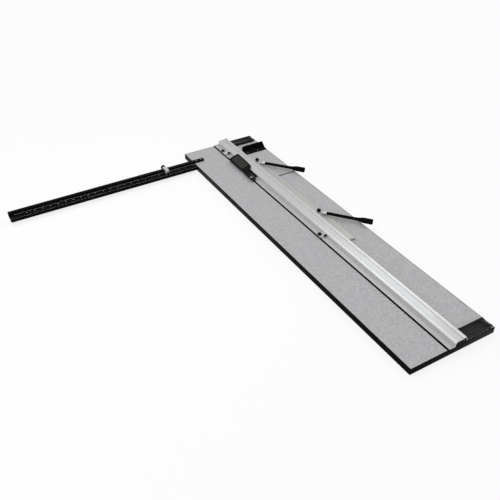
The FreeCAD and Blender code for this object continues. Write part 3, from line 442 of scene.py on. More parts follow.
def laminate_finish():
    """The board's laminate: fine grains over a coarse mottle, with slow cool patches."""
    material = finish("Board laminate", colours().laminate, rough=(0.42, 0.55), scale=620.0,
                      contrast=0.22, bump=0.06, specular=0.4)
    tree = material.node_tree
    paint = tree.nodes["Principled BSDF"].inputs["Base Color"]
    fine = paint.links[0].from_socket
    mottle = effect(tree, speckle_group, {"Vector": object_place(tree), "Scale": 250.0})
    coarse = blended(tree, mottle["Grain"], (0.73, 0.73, 0.73), (1.0, 1.0, 1.0))
    cool = blended(tree, mottle["Cloud"], (0.975, 0.985, 1.0), (1.0, 1.0, 0.985))
    tree.links.new(multiplied(tree, multiplied(tree, fine, coarse), cool), paint)
    return material


# Pieces

def dress(mesh_data, material):
    """Gives a mesh its finish."""
    mesh_data.materials.clear()
    mesh_data.materials.append(material)


def coat(node_names, material):
    """Gives CAD nodes a finish."""
    for name in node_names:
        dress(NODES[name].data, material)


def placed(name, data):
    """A new object in the scene."""
    thing = bpy.data.objects.new(name, data)
    bpy.context.scene.collection.objects.link(thing)
    return thing


def new_piece(name, mesh_data, body, slot, node_names=()):
    """Links a finished mesh and hangs it on its body."""
    piece = placed(name, mesh_data)
    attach(piece, body)
    if node_names:
        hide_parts(*node_names)
    return piece


def home_of(node_name):
    """The body that a CAD node rides on and the slot of its finish."""
    return body_of(NODES[node_name])[0], SLOTS[node_name]


def stand_in(node_name, mesh_data, material):
    """A detailed piece in place of a CAD node."""
    dress(mesh_data, material)
    return new_piece(node_name + "_detail", mesh_data, *home_of(node_name), [node_name])


def extra(name, carrier, mesh_data, material):
    """A small piece fixed to a CAD node, which stays."""
    dress(mesh_data, material)
    return new_piece(name, mesh_data, *home_of(carrier))


def second_finish(piece_name, material, test):
    """Gives another finish to the faces of a piece whose middle passes the test."""
    mesh_data = bpy.data.objects[piece_name].data
    mesh_data.materials.append(material)
    for face in mesh_data.polygons:
        if test(face.center):
            face.material_index = len(mesh_data.materials) - 1


# Meshes

def worked(*meshes):
    """A mesh to work on, made of one mesh or several."""
    work = bmesh.new()
    for mesh_data in meshes:
        work.from_mesh(mesh_data)
    return work


def meshed(work, name):
    """The plain mesh of one that has been worked on."""
    mesh_data = bpy.data.meshes.new(name)
    work.to_mesh(mesh_data)
    work.free()
    return mesh_data


def evaluated(thing):
    """The plain mesh of an object with its modifiers applied."""
    graph = bpy.context.evaluated_depsgraph_get()
    return bpy.data.meshes.new_from_object(thing.evaluated_get(graph))


def sharp_edges(work, angle):
    """The edges between two faces that meet at more than the angle."""
    limit = math.radians(angle)
    return [edge for edge in work.edges
            if len(edge.link_faces) == 2 and edge.calc_face_angle(0.0) > limit]


def smooth(mesh_data, angle=TURNED_SHADE):
    """Shades a mesh smoothly except across edges sharper than the angle."""
    work = worked(mesh_data)
    for face in work.faces:
        face.smooth = True
    for edge in sharp_edges(work, angle):
        edge.smooth = False
    work.to_mesh(mesh_data)
    work.free()
    return mesh_data


def joined(name, meshes):
    """One mesh from several."""
    return smooth(meshed(worked(*meshes), name))


def welded(node_name):
    """A CAD node's mesh with its doubled corners merged."""
    work = worked(NODES[node_name].data)
    bmesh.ops.remove_doubles(work, verts=work.verts, dist=WELD)
    return work


def whole_faces(node_name):
    """A CAD node's mesh with its triangles merged into whole flat faces."""
    work = welded(node_name)
    bmesh.ops.dissolve_limit(work, angle_limit=math.radians(FLAT), verts=work.verts,
                             edges=work.edges)
    return work


def carved(mesh_data, cutter_data):
    """A mesh with another one cut out of it."""
    body = placed("carved", mesh_data)
    cutter = placed("cutter", cutter_data)
    modifier = body.modifiers.new("Recess", "BOOLEAN")
    modifier.operation = "DIFFERENCE"
    modifier.solver = "EXACT"
    modifier.use_self = True
    modifier.object = cutter
    result = evaluated(body)
    for each in (body, cutter):
        bpy.data.objects.remove(each)
    return smooth(result)


def softened(node_name, width, cutter=None):
    """A copy of a CAD node with its sharp edges rounded by a width in millimetres.

    A cutter, where there is one, is first cut out of the copy."""
    work = whole_faces(node_name)
    if cutter:
        work = worked(carved(meshed(work, node_name + "_whole"), cutter))
    bmesh.ops.bevel(work, geom=sharp_edges(work, SHARP), offset=width * MM,
                    offset_type="OFFSET", segments=2, profile=0.5, affect="EDGES",
                    clamp_overlap=True)
    return smooth(meshed(work, node_name + "_soft"), ROUNDED_SHADE)


def soften(widths, material):
    """Puts rounded copies in place of CAD nodes; widths gives each node's rounding."""
    for node_name, width in widths.items():
        stand_in(node_name, softened(node_name, width), material)


def solids_of(node_name):
    """The lowest and highest corners of each separate solid of a CAD node."""
    work = welded(node_name)
    left = set(work.verts)
    found = []
    while left:
        reached = [left.pop()]
        island = list(reached)
        while reached:
            corner = reached.pop()
            for edge in corner.link_edges:
                other = edge.other_vert(corner)
                if other in left:
                    left.remove(other)
                    reached.append(other)
                    island.append(other)
        found.append([Vector([pick(corner.co[axis] for corner in island) for axis in range(3)])
                      for pick in (min, max)])
    work.free()
    return sorted(found, key=lambda box: tuple(box[0]))


def skin(work, first, second):
    """Faces between two lines of as many corners."""
    for step in range(len(first) - 1):
        work.faces.new((first[step], first[step + 1], second[step + 1], second[step]))


def border(rows):
    """The corners round the edge of a grid of rows, closed to where they start."""
    return [*rows[0], *(row[-1] for row in rows[1:]), *reversed(rows[-1][:-1]),
            *(row[0] for row in reversed(rows[:-1]))]


def slab(name, outline, low, high):
    """A flat plate with the given outline, from one height to another."""
    work = bmesh.new()
    base, lid = [[work.verts.new((x, y, height)) for x, y in outline]
                 for height in (low, high)]
    work.faces.new(list(reversed(base)))
    work.faces.new(lid)
    skin(work, [*base, base[0]], [*lid, lid[0]])
    bmesh.ops.recalc_face_normals(work, faces=work.faces)
    return smooth(meshed(work, name))


def lathe(name, profile, place=HERE, sides=MANY_SIDES):
    """A turned mesh; profile is a list of radius and height in metres, from end to end."""
    work = bmesh.new()
    turns = [2.0 * math.pi * side / sides for side in range(sides)]
    rings = []
    for radius, height in profile:
        around = turns if radius > 0.0 else [0.0]
        rings.append([work.verts.new((radius * math.cos(turn), radius * math.sin(turn), height))
                      for turn in around])
    for low, high in zip(rings, rings[1:]):
        for side in range(sides):
            after = (side + 1) % sides
            if len(low) == 1:
                work.faces.new((low[0], high[after], high[side]))
            elif len(high) == 1:
                work.faces.new((low[side], low[after], high[0]))
            else:
                work.faces.new((low[side], low[after], high[after], high[side]))
    bmesh.ops.recalc_face_normals(work, faces=work.faces)
    work.transform(place)
    return smooth(meshed(work, name))


def drum(node_name):
    """The radius and height of an upright round CAD node, and the place of its foot."""
    low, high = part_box(node_name)
    middle = (low + high) / 2
    return ((high.x - low.x) / 2, high.z - low.z,
            Matrix.Translation((middle.x, middle.y, low.z)))


def turned(node_name, profile, place, sides, material):
    """A turned piece in place of a CAD node."""
    return stand_in(node_name, lathe(node_name + "_turned", profile, place, sides), material)


def quarter(steps):
    """The cosine and sine of equal steps through a quarter turn."""
    turns = [0.5 * math.pi * step / steps for step in range(steps + 1)]
    return [(math.cos(turn), math.sin(turn)) for turn in turns]


def rim(radius, top, corner):
    """The profile of a rounded upper rim, for lathe."""
    return [(radius - corner + corner * cosine, top - corner + corner * sine)
            for cosine, sine in quarter(RIM_STEPS)]


def rounded_profile(radius, low, high, corner):
    """The profile of a solid disc or drum with rounded corners, for lathe."""
    under = [(radius - corner + corner * sine, low + corner - corner * cosine)
             for cosine, sine in quarter(RIM_STEPS)]
    return [(0.0, low), *under, *rim(radius, high, corner), (0.0, high)]


def along(axis, origin):
    """A placement whose Z points along the axis and whose origin is given."""
    turn = Vector((0, 0, 1)).rotation_difference(Vector(axis)).to_matrix().to_4x4()
    return Matrix.Translation(origin) @ turn


def ends_of(node_name, hint):
    """The two ends of a straight round piece, in the order of the hint."""
    corners = [vertex.co.copy() for vertex in NODES[node_name].data.vertices]
    low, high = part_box(node_name)
    direction = Vector([side * way for side, way in zip(high - low, hint)]).normalized()
    for _ in range(6):
        shares = [corner.dot(direction) for corner in corners]
        first = [c for c, share in zip(corners, shares) if share < min(shares) + 1.0 * MM]
        last = [c for c, share in zip(corners, shares) if share > max(shares) - 1.0 * MM]
        start = sum(first, Vector()) / len(first)
        end = sum(last, Vector()) / len(last)
        direction = (end - start).normalized()
    return start, end


def rounded_corner(x, y, half_wide, half_long, corner):
    """Pulls a point of a rectangle's grid in, so that the rectangle's corners are round."""
    over_x = max(0.0, abs(x) - (half_wide - corner))
    over_y = max(0.0, abs(y) - (half_long - corner))
    if over_x == 0.0 or over_y == 0.0:
        return x, y
    share = max(over_x, over_y) / math.hypot(over_x, over_y)
    return (math.copysign(half_wide - corner + over_x * share, x),
            math.copysign(half_long - corner + over_y * share, y))


# Geometry Nodes for what repeats or follows a path

class Growth:
    """A Geometry Nodes tree with named inputs, which ends in plain geometry with one finish."""

    def __init__(self, name, inputs):
        self.tree, self.inputs = new_tree(
            name, "GeometryNodeTree", {"Geometry": "Geometry", **inputs, "Finish": "Material"},
            {"Geometry": "Geometry"})

    def add(self, kind, wires, output=0, **settings):
        """Adds a node and gives back an output; a word in wires names the tree's own input."""
        wires = {socket: self.inputs[source] if isinstance(source, str) else source
                 for socket, source in wires.items()}
        return add_node(self.tree, kind, wires, **settings)[output]

    def maths(self, operation, first, second):
        """One sum with two values."""
        return self.add("ShaderNodeMath", {0: first, 1: second}, operation=operation)

    def line(self):
        """Points in a row."""
        return self.add("GeometryNodeMeshLine", {
            "Count": "Count", "Start Location": "First", "Offset": "Pitch"})

    def planted(self, points, pattern, **wires):
        """The pattern on every point."""
        return self.add("GeometryNodeInstanceOnPoints",
                        {"Points": points, "Instance": pattern, **wires})

    def swept(self, path, radius, sides):
        """A round bar along a path."""
        section = self.add("GeometryNodeCurvePrimitiveCircle",
                           {"Resolution": sides, "Radius": radius})
        return self.add("GeometryNodeCurveToMesh", {
            "Curve": path, "Profile Curve": section, "Fill Caps": True})

    def end(self, geometry, with_base=False):
        """Adds the base, makes the instances real and gives the whole one finish."""
        if with_base:
            both = [geometry, self.inputs["Geometry"]]
            geometry = self.add("GeometryNodeJoinGeometry", {"Geometry": both})
        real = self.add("GeometryNodeRealizeInstances", {"Geometry": geometry})
        done = self.add("GeometryNodeSetMaterial", {"Geometry": real, "Material": "Finish"})
        add_node(self.tree, "NodeGroupOutput", {"Geometry": done})
        return self.tree


def flutes_tree():
    """Upright ribs round a turned knob."""
    grow = Growth("Knob flutes", {"Flutes": "Int", "Reach": "Float", "Rib radius": "Float",
                                  "Low": "Float", "High": "Float"})
    middle = grow.maths("MULTIPLY", grow.maths("ADD", "Low", "High"), 0.5)
    rib = grow.add("GeometryNodeMeshCylinder", {
        "Vertices": 10, "Depth": grow.maths("SUBTRACT", "High", "Low"), "Radius": "Rib radius"})
    ring = grow.add("GeometryNodeMeshCircle", {"Vertices": "Flutes", "Radius": "Reach"})
    lift = grow.add("ShaderNodeCombineXYZ", {"Z": middle})
    raised = grow.add("GeometryNodeSetPosition", {"Geometry": ring, "Offset": lift})
    return grow.end(grow.planted(raised, rib), with_base=True)


def screws_tree():
    """A screw head on every point, each left at its own angle."""
    grow = Growth("Screws", {"Head": "Object", "Seed": "Int"})
    head = grow.add("GeometryNodeObjectInfo", {"Object": "Head"}, "Geometry")
    angle = grow.add("FunctionNodeRandomValue", {"Max": (0.0, 0.0, math.pi), "Seed": "Seed"},
                     "Value", data_type="FLOAT_VECTOR")
    return grow.end(grow.planted("Geometry", head, Rotation=angle))


def ribs_tree():
    """Raised ribs laid side by side on a surface that they follow."""
    grow = Growth("Surface ribs", {"Count": "Int", "Pitch": "Vector", "First": "Vector",
                                   "Reach": "Vector", "Rib radius": "Float"})
    stroke = grow.add("GeometryNodeCurvePrimitiveLine", {"End": "Reach"})
    strokes = grow.planted(grow.line(), stroke)
    real = grow.add("GeometryNodeRealizeInstances", {"Geometry": strokes})
    fine = grow.add("GeometryNodeResampleCurve", {"Curve": real, "Count": 16})
    met, place = grow.add("GeometryNodeRaycast", {
        "Target Geometry": "Geometry", "Ray Direction": (0.0, 0.0, -1.0), "Ray Length": 0.1},
        slice(2))
    laid = grow.add("GeometryNodeSetPosition", {
        "Geometry": fine, "Selection": met, "Position": place})
    return grow.end(grow.swept(laid, "Rib radius", 8), with_base=True)


def marks_tree():
    """A row of equal marks along a line."""
    grow = Growth("Graduations", {"Count": "Int", "First": "Vector", "Pitch": "Vector",
                                  "Size": "Vector"})
    mark = grow.add("GeometryNodeMeshCube", {"Size": "Size"})
    return grow.end(grow.planted(grow.line(), mark))


def coil_tree():
    """A wire wound into an upright coil."""
    grow = Growth("Coil", {"Turns": "Float", "Radius": "Float", "Height": "Float",
                           "Wire radius": "Float"})
    path = grow.add("GeometryNodeCurveSpiral", {
        "Resolution": 24, "Rotations": "Turns", "Start Radius": "Radius",
        "End Radius": "Radius", "Height": "Height"})
    return grow.end(grow.swept(path, "Wire radius", 10))


def grown(maker, name, values, base=None):
    """The plain mesh that one of the trees makes from a base mesh."""
    tree = shared(maker)
    holder = placed(name, base or bpy.data.meshes.new(name + "_base"))
    modifier = holder.modifiers.new(tree.name, "NODES")
    modifier.node_group = tree
    for item in tree.interface.items_tree:
        if item.in_out == "INPUT" and item.name in values:
            modifier[item.identifier] = values[item.name]
    mesh_data = evaluated(holder)
    holder.modifiers.remove(modifier)
    bpy.data.objects.remove(holder)
    mesh_data.name = name
    if not mesh_data.polygons:
        raise RuntimeError(name + " came out empty")
    return smooth(mesh_data)


# Screws and knobs

def screw_mesh(name, radius, tall, shank, length):
    """A round-headed screw with a cross recess; its seat is at height zero."""
    profile = [(0.0, -length), (shank, -length), (shank, 0.0), (radius, 0.0),
               (radius, 0.35 * tall)]
    for cosine, sine in quarter(6)[1:-1]:
        profile.append((radius * (0.45 + 0.55 * cosine), tall * (0.35 + 0.65 * sine)))
    profile.append((0.0, tall))
    work = bmesh.new()
    for turn in (0.0, 0.5 * math.pi):
        bar = Matrix.Rotation(turn, 4, "Z") @ Matrix.Translation((0.0, 0.0, tall))
        size = Matrix.Diagonal((1.3 * radius, 0.26 * radius, 1.1 * tall, 1.0))
        bmesh.ops.create_cube(work, size=1.0, matrix=bar @ size)
    return carved(lathe(name, profile, sides=FEW_SIDES), meshed(work, name + "_cutter"))


def planted(name, mesh_data, places, seed, material):
    """The same small mesh at several places, as one mesh."""
    pattern = placed(name + "_pattern", mesh_data)
    points = bpy.data.meshes.new(name + "_points")
    points.from_pydata(places, [], [])
    values = {"Head": pattern, "Seed": seed, "Finish": material}
    result = grown(screws_tree, name, values, points)
    bpy.data.objects.remove(pattern)
    return result


def screw_row(node_name, material, tall=2.0):
    """Round-headed screws in place of a CAD node's plain ones."""
    solids = solids_of(node_name)
    low, high = solids[0]
    radius = (high.x - low.x) / 2
    tall *= MM
    head = screw_mesh(node_name + "_head", radius, tall, 0.5 * radius, high.z - tall - low.z)
    places = [((a.x + b.x) / 2, (a.y + b.y) / 2, b.z - tall) for a, b in solids]
    seed = sum(ord(letter) for letter in node_name)
    stand_in(node_name, planted(node_name + "_row", head, places, seed, material), material)


def fluted_knob(node_name, axis, shank, head_low, flutes, wider=0.0):
    """A turned knob with upright flutes; the lengths are in millimetres."""
    material = shared(knob_plastic)
    low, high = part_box(node_name)
    across = (high.x - low.x) / 2 + wider * MM
    direction = Vector(axis)
    tall = abs(direction.dot(high - low))
    rib = math.pi * across / flutes * 0.55
    core = across - rib
    head = head_low * MM
    corner = 0.16 * (tall - head)
    seat = head - 0.1 * MM
    dish = 0.5 * core
    profile = [(0.0, 0.0), (shank * MM, 0.0), (shank * MM, seat), (0.72 * core, seat),
               (core, head + corner), *rim(core, tall, corner)[1:], (dish, tall),
               (0.85 * dish, tall - 0.35 * MM), (0.0, tall - 0.5 * MM)]
    values = {"Flutes": flutes, "Reach": core, "Rib radius": rib, "Low": head + 0.5 * corner,
              "High": tall - corner, "Finish": material}
    mesh_data = grown(flutes_tree, node_name + "_knob", values,
                      lathe(node_name + "_body", profile))
    mesh_data.transform(along(direction, (low + high) / 2 - direction * tall / 2))
    stand_in(node_name, mesh_data, material)


class FinishOperator:
    """What the operators of the pieces have in common."""

    bl_options = {"REGISTER", "UNDO"}


class MATCUTTER_OT_board(FinishOperator, bpy.types.Operator):
    """Finishes the baseboard, its edging, strip and channel, and makes its feet."""

    bl_idname = "matcutter.board"
    bl_label = "Board"

    def execute(self, context):
        tones = colours()
        coat(["baseboard"], laminate_finish())
        soften({"edge_band": 0.7}, finish(
            "Board edging", tones.edging, rough=(0.32, 0.44), drawn=(40.0, 40.0, 1500.0),
            contrast=0.4, bump=0.15, specular=0.015))
        coat(["cutting_strip"], finish(
            "Cutting strip", tones.black, rough=(0.5, 0.6), scale=1500.0, contrast=0.3,
            bump=0.1, specular=0.02))
        coat(["guide_channel"], finish(
            "Guide channel", tones.channel, drawn=(6.0, 900.0, 900.0), contrast=0.2, bump=0.1,
            specular=0.2))
        self.feet(finish(
            "Foot rubber", shade(tones.black, 1.6), rough=(0.75, 0.85), scale=1800.0,
            contrast=0.25, bump=0.25, specular=0.2))
        return {"FINISHED"}

    def feet(self, rubber):
        """Moulded feet with a rounded rim and a dished sole."""
        solids = solids_of("rubber_feet")
        low, high = solids[0]
        radius = (high.x - low.x) / 2
        edge = 0.9 * MM
        sole = 0.7 * MM
        tall = high.z - low.z
        profile = [(0.0, sole), (0.62 * radius, sole), (0.72 * radius, 0.0),
                   (0.86 * radius, 0.0), (0.86 * radius + edge, edge), (radius, tall),
                   (0.0, tall)]
        places = [((a.x + b.x) / 2, (a.y + b.y) / 2, a.z) for a, b in solids]
        foot = lathe("foot", profile, sides=40)
        stand_in("rubber_feet", planted("feet", foot, places, FEET_SEED, rubber), rubber)


class MATCUTTER_OT_rail(FinishOperator, bpy.types.Operator):
    """Makes the guide rail with its rounded edges and a painted shadow on its left side, and
    lays the blank strip on it.
    """

    bl_idname = "matcutter.rail"
    bl_label = "Guide rail"

    def execute(self, context):
        tones = colours()
        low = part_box("guide_rail")[0]
        soften({"guide_rail": 0.25}, finish(
            "Rail anodising", tones.rail, metallic=0.45, rough=(0.34, 0.42), drawn=ALONG_Y,
            contrast=0.05, bump=0.12))
        # The low flange is given a darker tone than the crown
        flange_tone = finish("Rail slide face", shade(tones.rail, 0.84), metallic=0.3,
                       rough=(0.42, 0.5), drawn=ALONG_Y, bump=0.15)
        second_finish("guide_rail_detail", flange_tone,
                      lambda place: place.x < low.x + FLANGE_WIDE * MM
                      and place.z < low.z + FLANGE_TALL * MM)
        # Painted shadow: the rail's left side face is coloured black to stand in for the shade
        # under the flange's edge
        edge_shadow_paint = finish("Rail edge insert", tones.black, rough=(0.5, 0.6), contrast=0.3,
                        bump=0.1, specular=0.02)
        second_finish("guide_rail_detail", edge_shadow_paint,
                      lambda place: place.x < low.x + PAINTED_SHADOW_WIDE * MM)
        coat(["rail_grip_strip"], finish(
            "Grip rubber", shade(tones.black, 1.3), rough=(0.7, 0.8), contrast=0.2, bump=0.2,
            specular=0.2))
        soften({"rail_cap_near": 0.3, "rail_cap_far": 0.3}, finish(
            "Rail plug", tones.black, rough=(0.4, 0.55), scale=2200.0, contrast=0.3, bump=0.2,
            specular=0.04))
        self.blank_strip(low, finish(
            "Blank strip", tones.strip, rough=(0.3, 0.4), scale=1500.0, contrast=0.02,
            bump=0.03))
        return {"FINISHED"}

    def blank_strip(self, corner, paint):
        """A thin plain strip with rounded ends, flat on the crown of the rail."""
        half = STRIP_WIDE * MM / 2
        middle = corner.x + STRIP_LEFT * MM + half
        top = corner.z + STRIP_SEAT * MM
        near = corner.y + STRIP_NEAR * MM
        far = near + STRIP_LONG * MM
        bulge = half * STRIP_ROUND
        outline = []
        for end, first in ((far - bulge, 0.0), (near + bulge, math.pi)):
            for step in range(13):
                turn = first + math.pi * step / 12
                outline.append((middle + half * math.cos(turn), end + bulge * math.sin(turn)))
        plate = slab("blank_strip", outline, top - STRIP_SUNK * MM, top + STRIP_PROUD * MM)
        extra("blank_strip", "guide_rail", plate, paint)


class MATCUTTER_OT_hinges(FinishOperator, bpy.types.Operator):
    """Makes the two hinges that the rail swings on, with their screws and pins."""

    bl_idname = "matcutter.hinges"
    bl_label = "Hinges"

    def execute(self, context):
        widths = {"hinge_arm_near": 0.7, "hinge_arm_far": 0.7, "hinge_base_near": 0.4,
                  "hinge_base_far": 0.4}
        soften(widths, finish(
            "Hinge moulding", colours().black, rough=(0.26, 0.38), scale=2200.0, contrast=0.4,
            bump=0.2, specular=0.11))
        steel = shared(plated_steel)
        coat(["hinge_pin_near", "hinge_pin_far"], steel)
        screw_row("hinge_arm_screws", steel)
        screw_row("hinge_base_screws", steel)
        return {"FINISHED"}


class MATCUTTER_OT_squaring_arm(FinishOperator, bpy.types.Operator):
    """Makes the squaring arm with its graduations, a painted highlight along its front edge,
    cap, screws and stop.
    """

    bl_idname = "matcutter.squaring_arm"
    bl_label = "Squaring arm"

    def execute(self, context):
        tones = colours()
        soften({"squaring_arm": 0.3}, finish(
            "Arm anodising", tones.black, metallic=0.1, rough=(0.34, 0.46), drawn=ALONG_X,
            contrast=0.3, bump=0.12, specular=0.03))
        soften({"squaring_arm_cap": 0.4}, finish(
            "Arm cap", tones.black, contrast=0.3, bump=0.2, specular=0.06))
        screw_row("squaring_arm_screws", shared(plated_steel), 1.9)
        soften({"arm_stop_block": 0.6}, shared(stop_metal))
        fluted_knob("arm_stop_knob", (0, 1, 0), 2.08, 8.6, 20, ARM_KNOB_WIDER)
        self.graduations(finish(
            "Graduation ink", tones.ink, rough=(0.5, 0.6), contrast=0.05, scale=2500.0,
            bump=0.02))
        return {"FINISHED"}

    def graduations(self, ink):
        """Equal marks along the ledge, with a longer one at every inch and half inch, and a
        pale painted highlight line near the arm's front edge.
        """
        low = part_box("squaring_arm")[0]
        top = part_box("baseboard")[1].z
        ledge_back = low.y + LEDGE_WIDE * MM
        start = FIRST_MARK * MM
        room = start - low.x - ARM_END * MM
        runs = []
        for step, length in MARK_ROWS:
            pitch = step * INCH * MM
            place = (start, ledge_back - (1.0 + length / 2) * MM, top)
            size = (MARK_WIDE * MM, length * MM, MARK_TALL * MM)
            runs.append(self.marks(int(room / pitch), pitch, place, size, ink))
        # Painted highlight: a pale strip in the graduations' colour along the arm's front edge,
        # standing in for light caught by the edge
        highlight_place = ((low.x + start) / 2, low.y + HIGHLIGHT_LINE_IN * MM,
                      top - HIGHLIGHT_LINE_DOWN * MM)
        highlight_size = (start - low.x, HIGHLIGHT_LINE_WIDE * MM, MARK_TALL * MM)
        runs.append(self.marks(1, 0.0, highlight_place, highlight_size, ink))
        line_y = ledge_back - NUMBER_LINE * MM
        runs.append(self.numbers(start, room, line_y, top + 0.02 * MM))
        extra("graduations", "squaring_arm", joined("graduations", runs), ink)

    def marks(self, count, pitch, place, size, ink):
        """Equal marks, one beside the other towards the arm's free end."""
        values = {"Count": count, "Pitch": (-pitch, 0.0, 0.0), "First": place, "Size": size,
                  "Finish": ink}
        return grown(marks_tree, "marks", values)

    def numbers(self, start, room, line_y, level):
        """The inch numbers beside the long marks."""
        meshes = []
        for inch in range(1, int(room / (INCH * MM))):
            words = bpy.data.curves.new("number", "FONT")
            words.body = str(inch)
            words.size = NUMBER_SIZE * MM
            words.align_x = "CENTER"
            words.align_y = "CENTER"
            words.resolution_u = 2
            words.extrude = NUMBER_DEEP * MM
            holder = placed("number", words)
            mesh_data = evaluated(holder)
            mesh_data.transform(Matrix.Translation((start - inch * INCH * MM, line_y, level)))
            meshes.append(mesh_data)
            bpy.data.objects.remove(holder)
        return joined("numbers", meshes)


class MATCUTTER_OT_stops(FinishOperator, bpy.types.Operator):
    """Makes the two stops on the rail's flange."""

    bl_idname = "matcutter.stops"
    bl_label = "Rail stops"

    def execute(self, context):
        soften({"mid_stop_block": 0.5, "far_stop_block": 0.5}, shared(stop_metal))
        rubber = finish("Bumper rubber", shade(colours().black, 1.6), rough=(0.6, 0.7),
                        bump=0.2, specular=0.08)
        for side in ("mid", "far"):
            name = side + "_stop_bumper"
            low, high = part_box(name)
            radius = BUMPER_SWELL * (high.x - low.x) / 2
            profile = rounded_profile(radius, 0.0, high.y - low.y, 0.9 * MM)
            place = along((0, -1, 0), Vector((high.x - radius, high.y, low.z + radius)))
            turned(name, profile, place, 40, rubber)
            fluted_knob(side + "_stop_knob", (0, 0, 1), 1.6, 4.0, 16, STOP_KNOB_WIDER)
        return {"FINISHED"}


class MATCUTTER_OT_mat_guide(FinishOperator, bpy.types.Operator):
    """Makes the mat guide bar with its lever locks and thumb screws."""

    bl_idname = "matcutter.mat_guide"
    bl_label = "Mat guide"

    def execute(self, context):
        tones = colours()
        soften({"mat_guide_bar": 0.3}, finish(
            "Mat guide anodising", tones.bar, metallic=0.2, drawn=ALONG_Y, contrast=0.05,
            bump=0.12))
        coat(["mat_guide_end"], finish(
            "Guide end", shade(tones.channel, 1.2), rough=(0.5, 0.6), contrast=0.2, bump=0.15,
            specular=0.2))
        coat(["guide_runner"], finish(
            "Guide runner", tones.black, rough=(0.45, 0.55), contrast=0.3, bump=0.15,
            specular=0.15))
        rod = finish("Lever rod", tones.black, metallic=0.2, rough=(0.26, 0.38), scale=1500.0,
                     contrast=0.3, bump=0.05, specular=0.03)
        grip = finish("Lever grip", tones.black, rough=(0.42, 0.55), scale=1600.0,
                      contrast=0.3, bump=0.25, specular=0.03)
        for side in ("near", "far"):
            self.hub("lever_hub_" + side)
            self.rod(side, rod)
            self.grip("lever_grip_" + side, grip)
            fluted_knob("bar_knob_" + side, (0, 0, 1), 1.6, 8.6, 18)
        return {"FINISHED"}

    def hub(self, name):
        """A turned hub with a rounded crown and a washer face."""
        radius, tall, place = drum(name)
        floor = tall - HUB_TALL * MM
        neck = HUB_NECK * MM
        dip = tall - HUB_DIP * MM
        profile = [(0.0, 0.0), (neck, 0.0), (neck, floor), (radius, floor),
                   *rim(radius, tall, HUB_CORNER * MM)[1:], (2.2 * MM, tall),
                   (2.0 * MM, dip), (0.0, dip)]
        turned(name, profile, place, MANY_SIDES, shared(plated_steel))

    def rod(self, side, material):
        """The lever's rod, thicker before the grip, with a bright collar at the hub."""
        name = "lever_rod_" + side
        root, tip = ends_of(name, (1, -1, 0))
        place = along(tip - root, root)
        run = (tip - root).length / MM
        profile = [(radius * MM, (share * run + past) * MM)
                   for radius, share, past in ROD_PROFILE]
        turned(name, profile, place, FEW_SIDES, material)
        collar = rounded_profile(COLLAR_RADIUS * MM, -1.0 * MM, 9.0 * MM, 0.8 * MM)
        extra("lever_collar_" + side, "lever_hub_" + side,
              lathe("collar", collar, place, FEW_SIDES), shared(plated_steel))

    def grip(self, name, material):
        """The long grip at the lever's end."""
        back, front = ends_of(name, (1, -1, 0))
        low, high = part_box(name)
        radius = GRIP_SWELL * (high.z - low.z) / 2
        run = (front - back).length
        profile = [(share * radius, place * run) for share, place in GRIP_PROFILE]
        turned(name, profile, along(front - back, back), MANY_SIDES, material)


class MATCUTTER_OT_end_bracket(FinishOperator, bpy.types.Operator):
    """Makes the end bracket and its two screws."""

    bl_idname = "matcutter.end_bracket"
    bl_label = "End bracket"

    def execute(self, context):
        tones = colours()
        soften({"end_bracket": 0.5}, finish(
            "Bracket paint", tones.black, rough=(0.42, 0.55), scale=1500.0, contrast=0.4,
            bump=0.15, specular=0.05))
        screw_row("end_bracket_screws", finish(
            "Dark screw steel", shade(tones.steel, 0.2), metallic=0.8, rough=(0.3, 0.4),
            drawn=(900.0, 6.0, 900.0), contrast=0.1, bump=0.05))
        return {"FINISHED"}


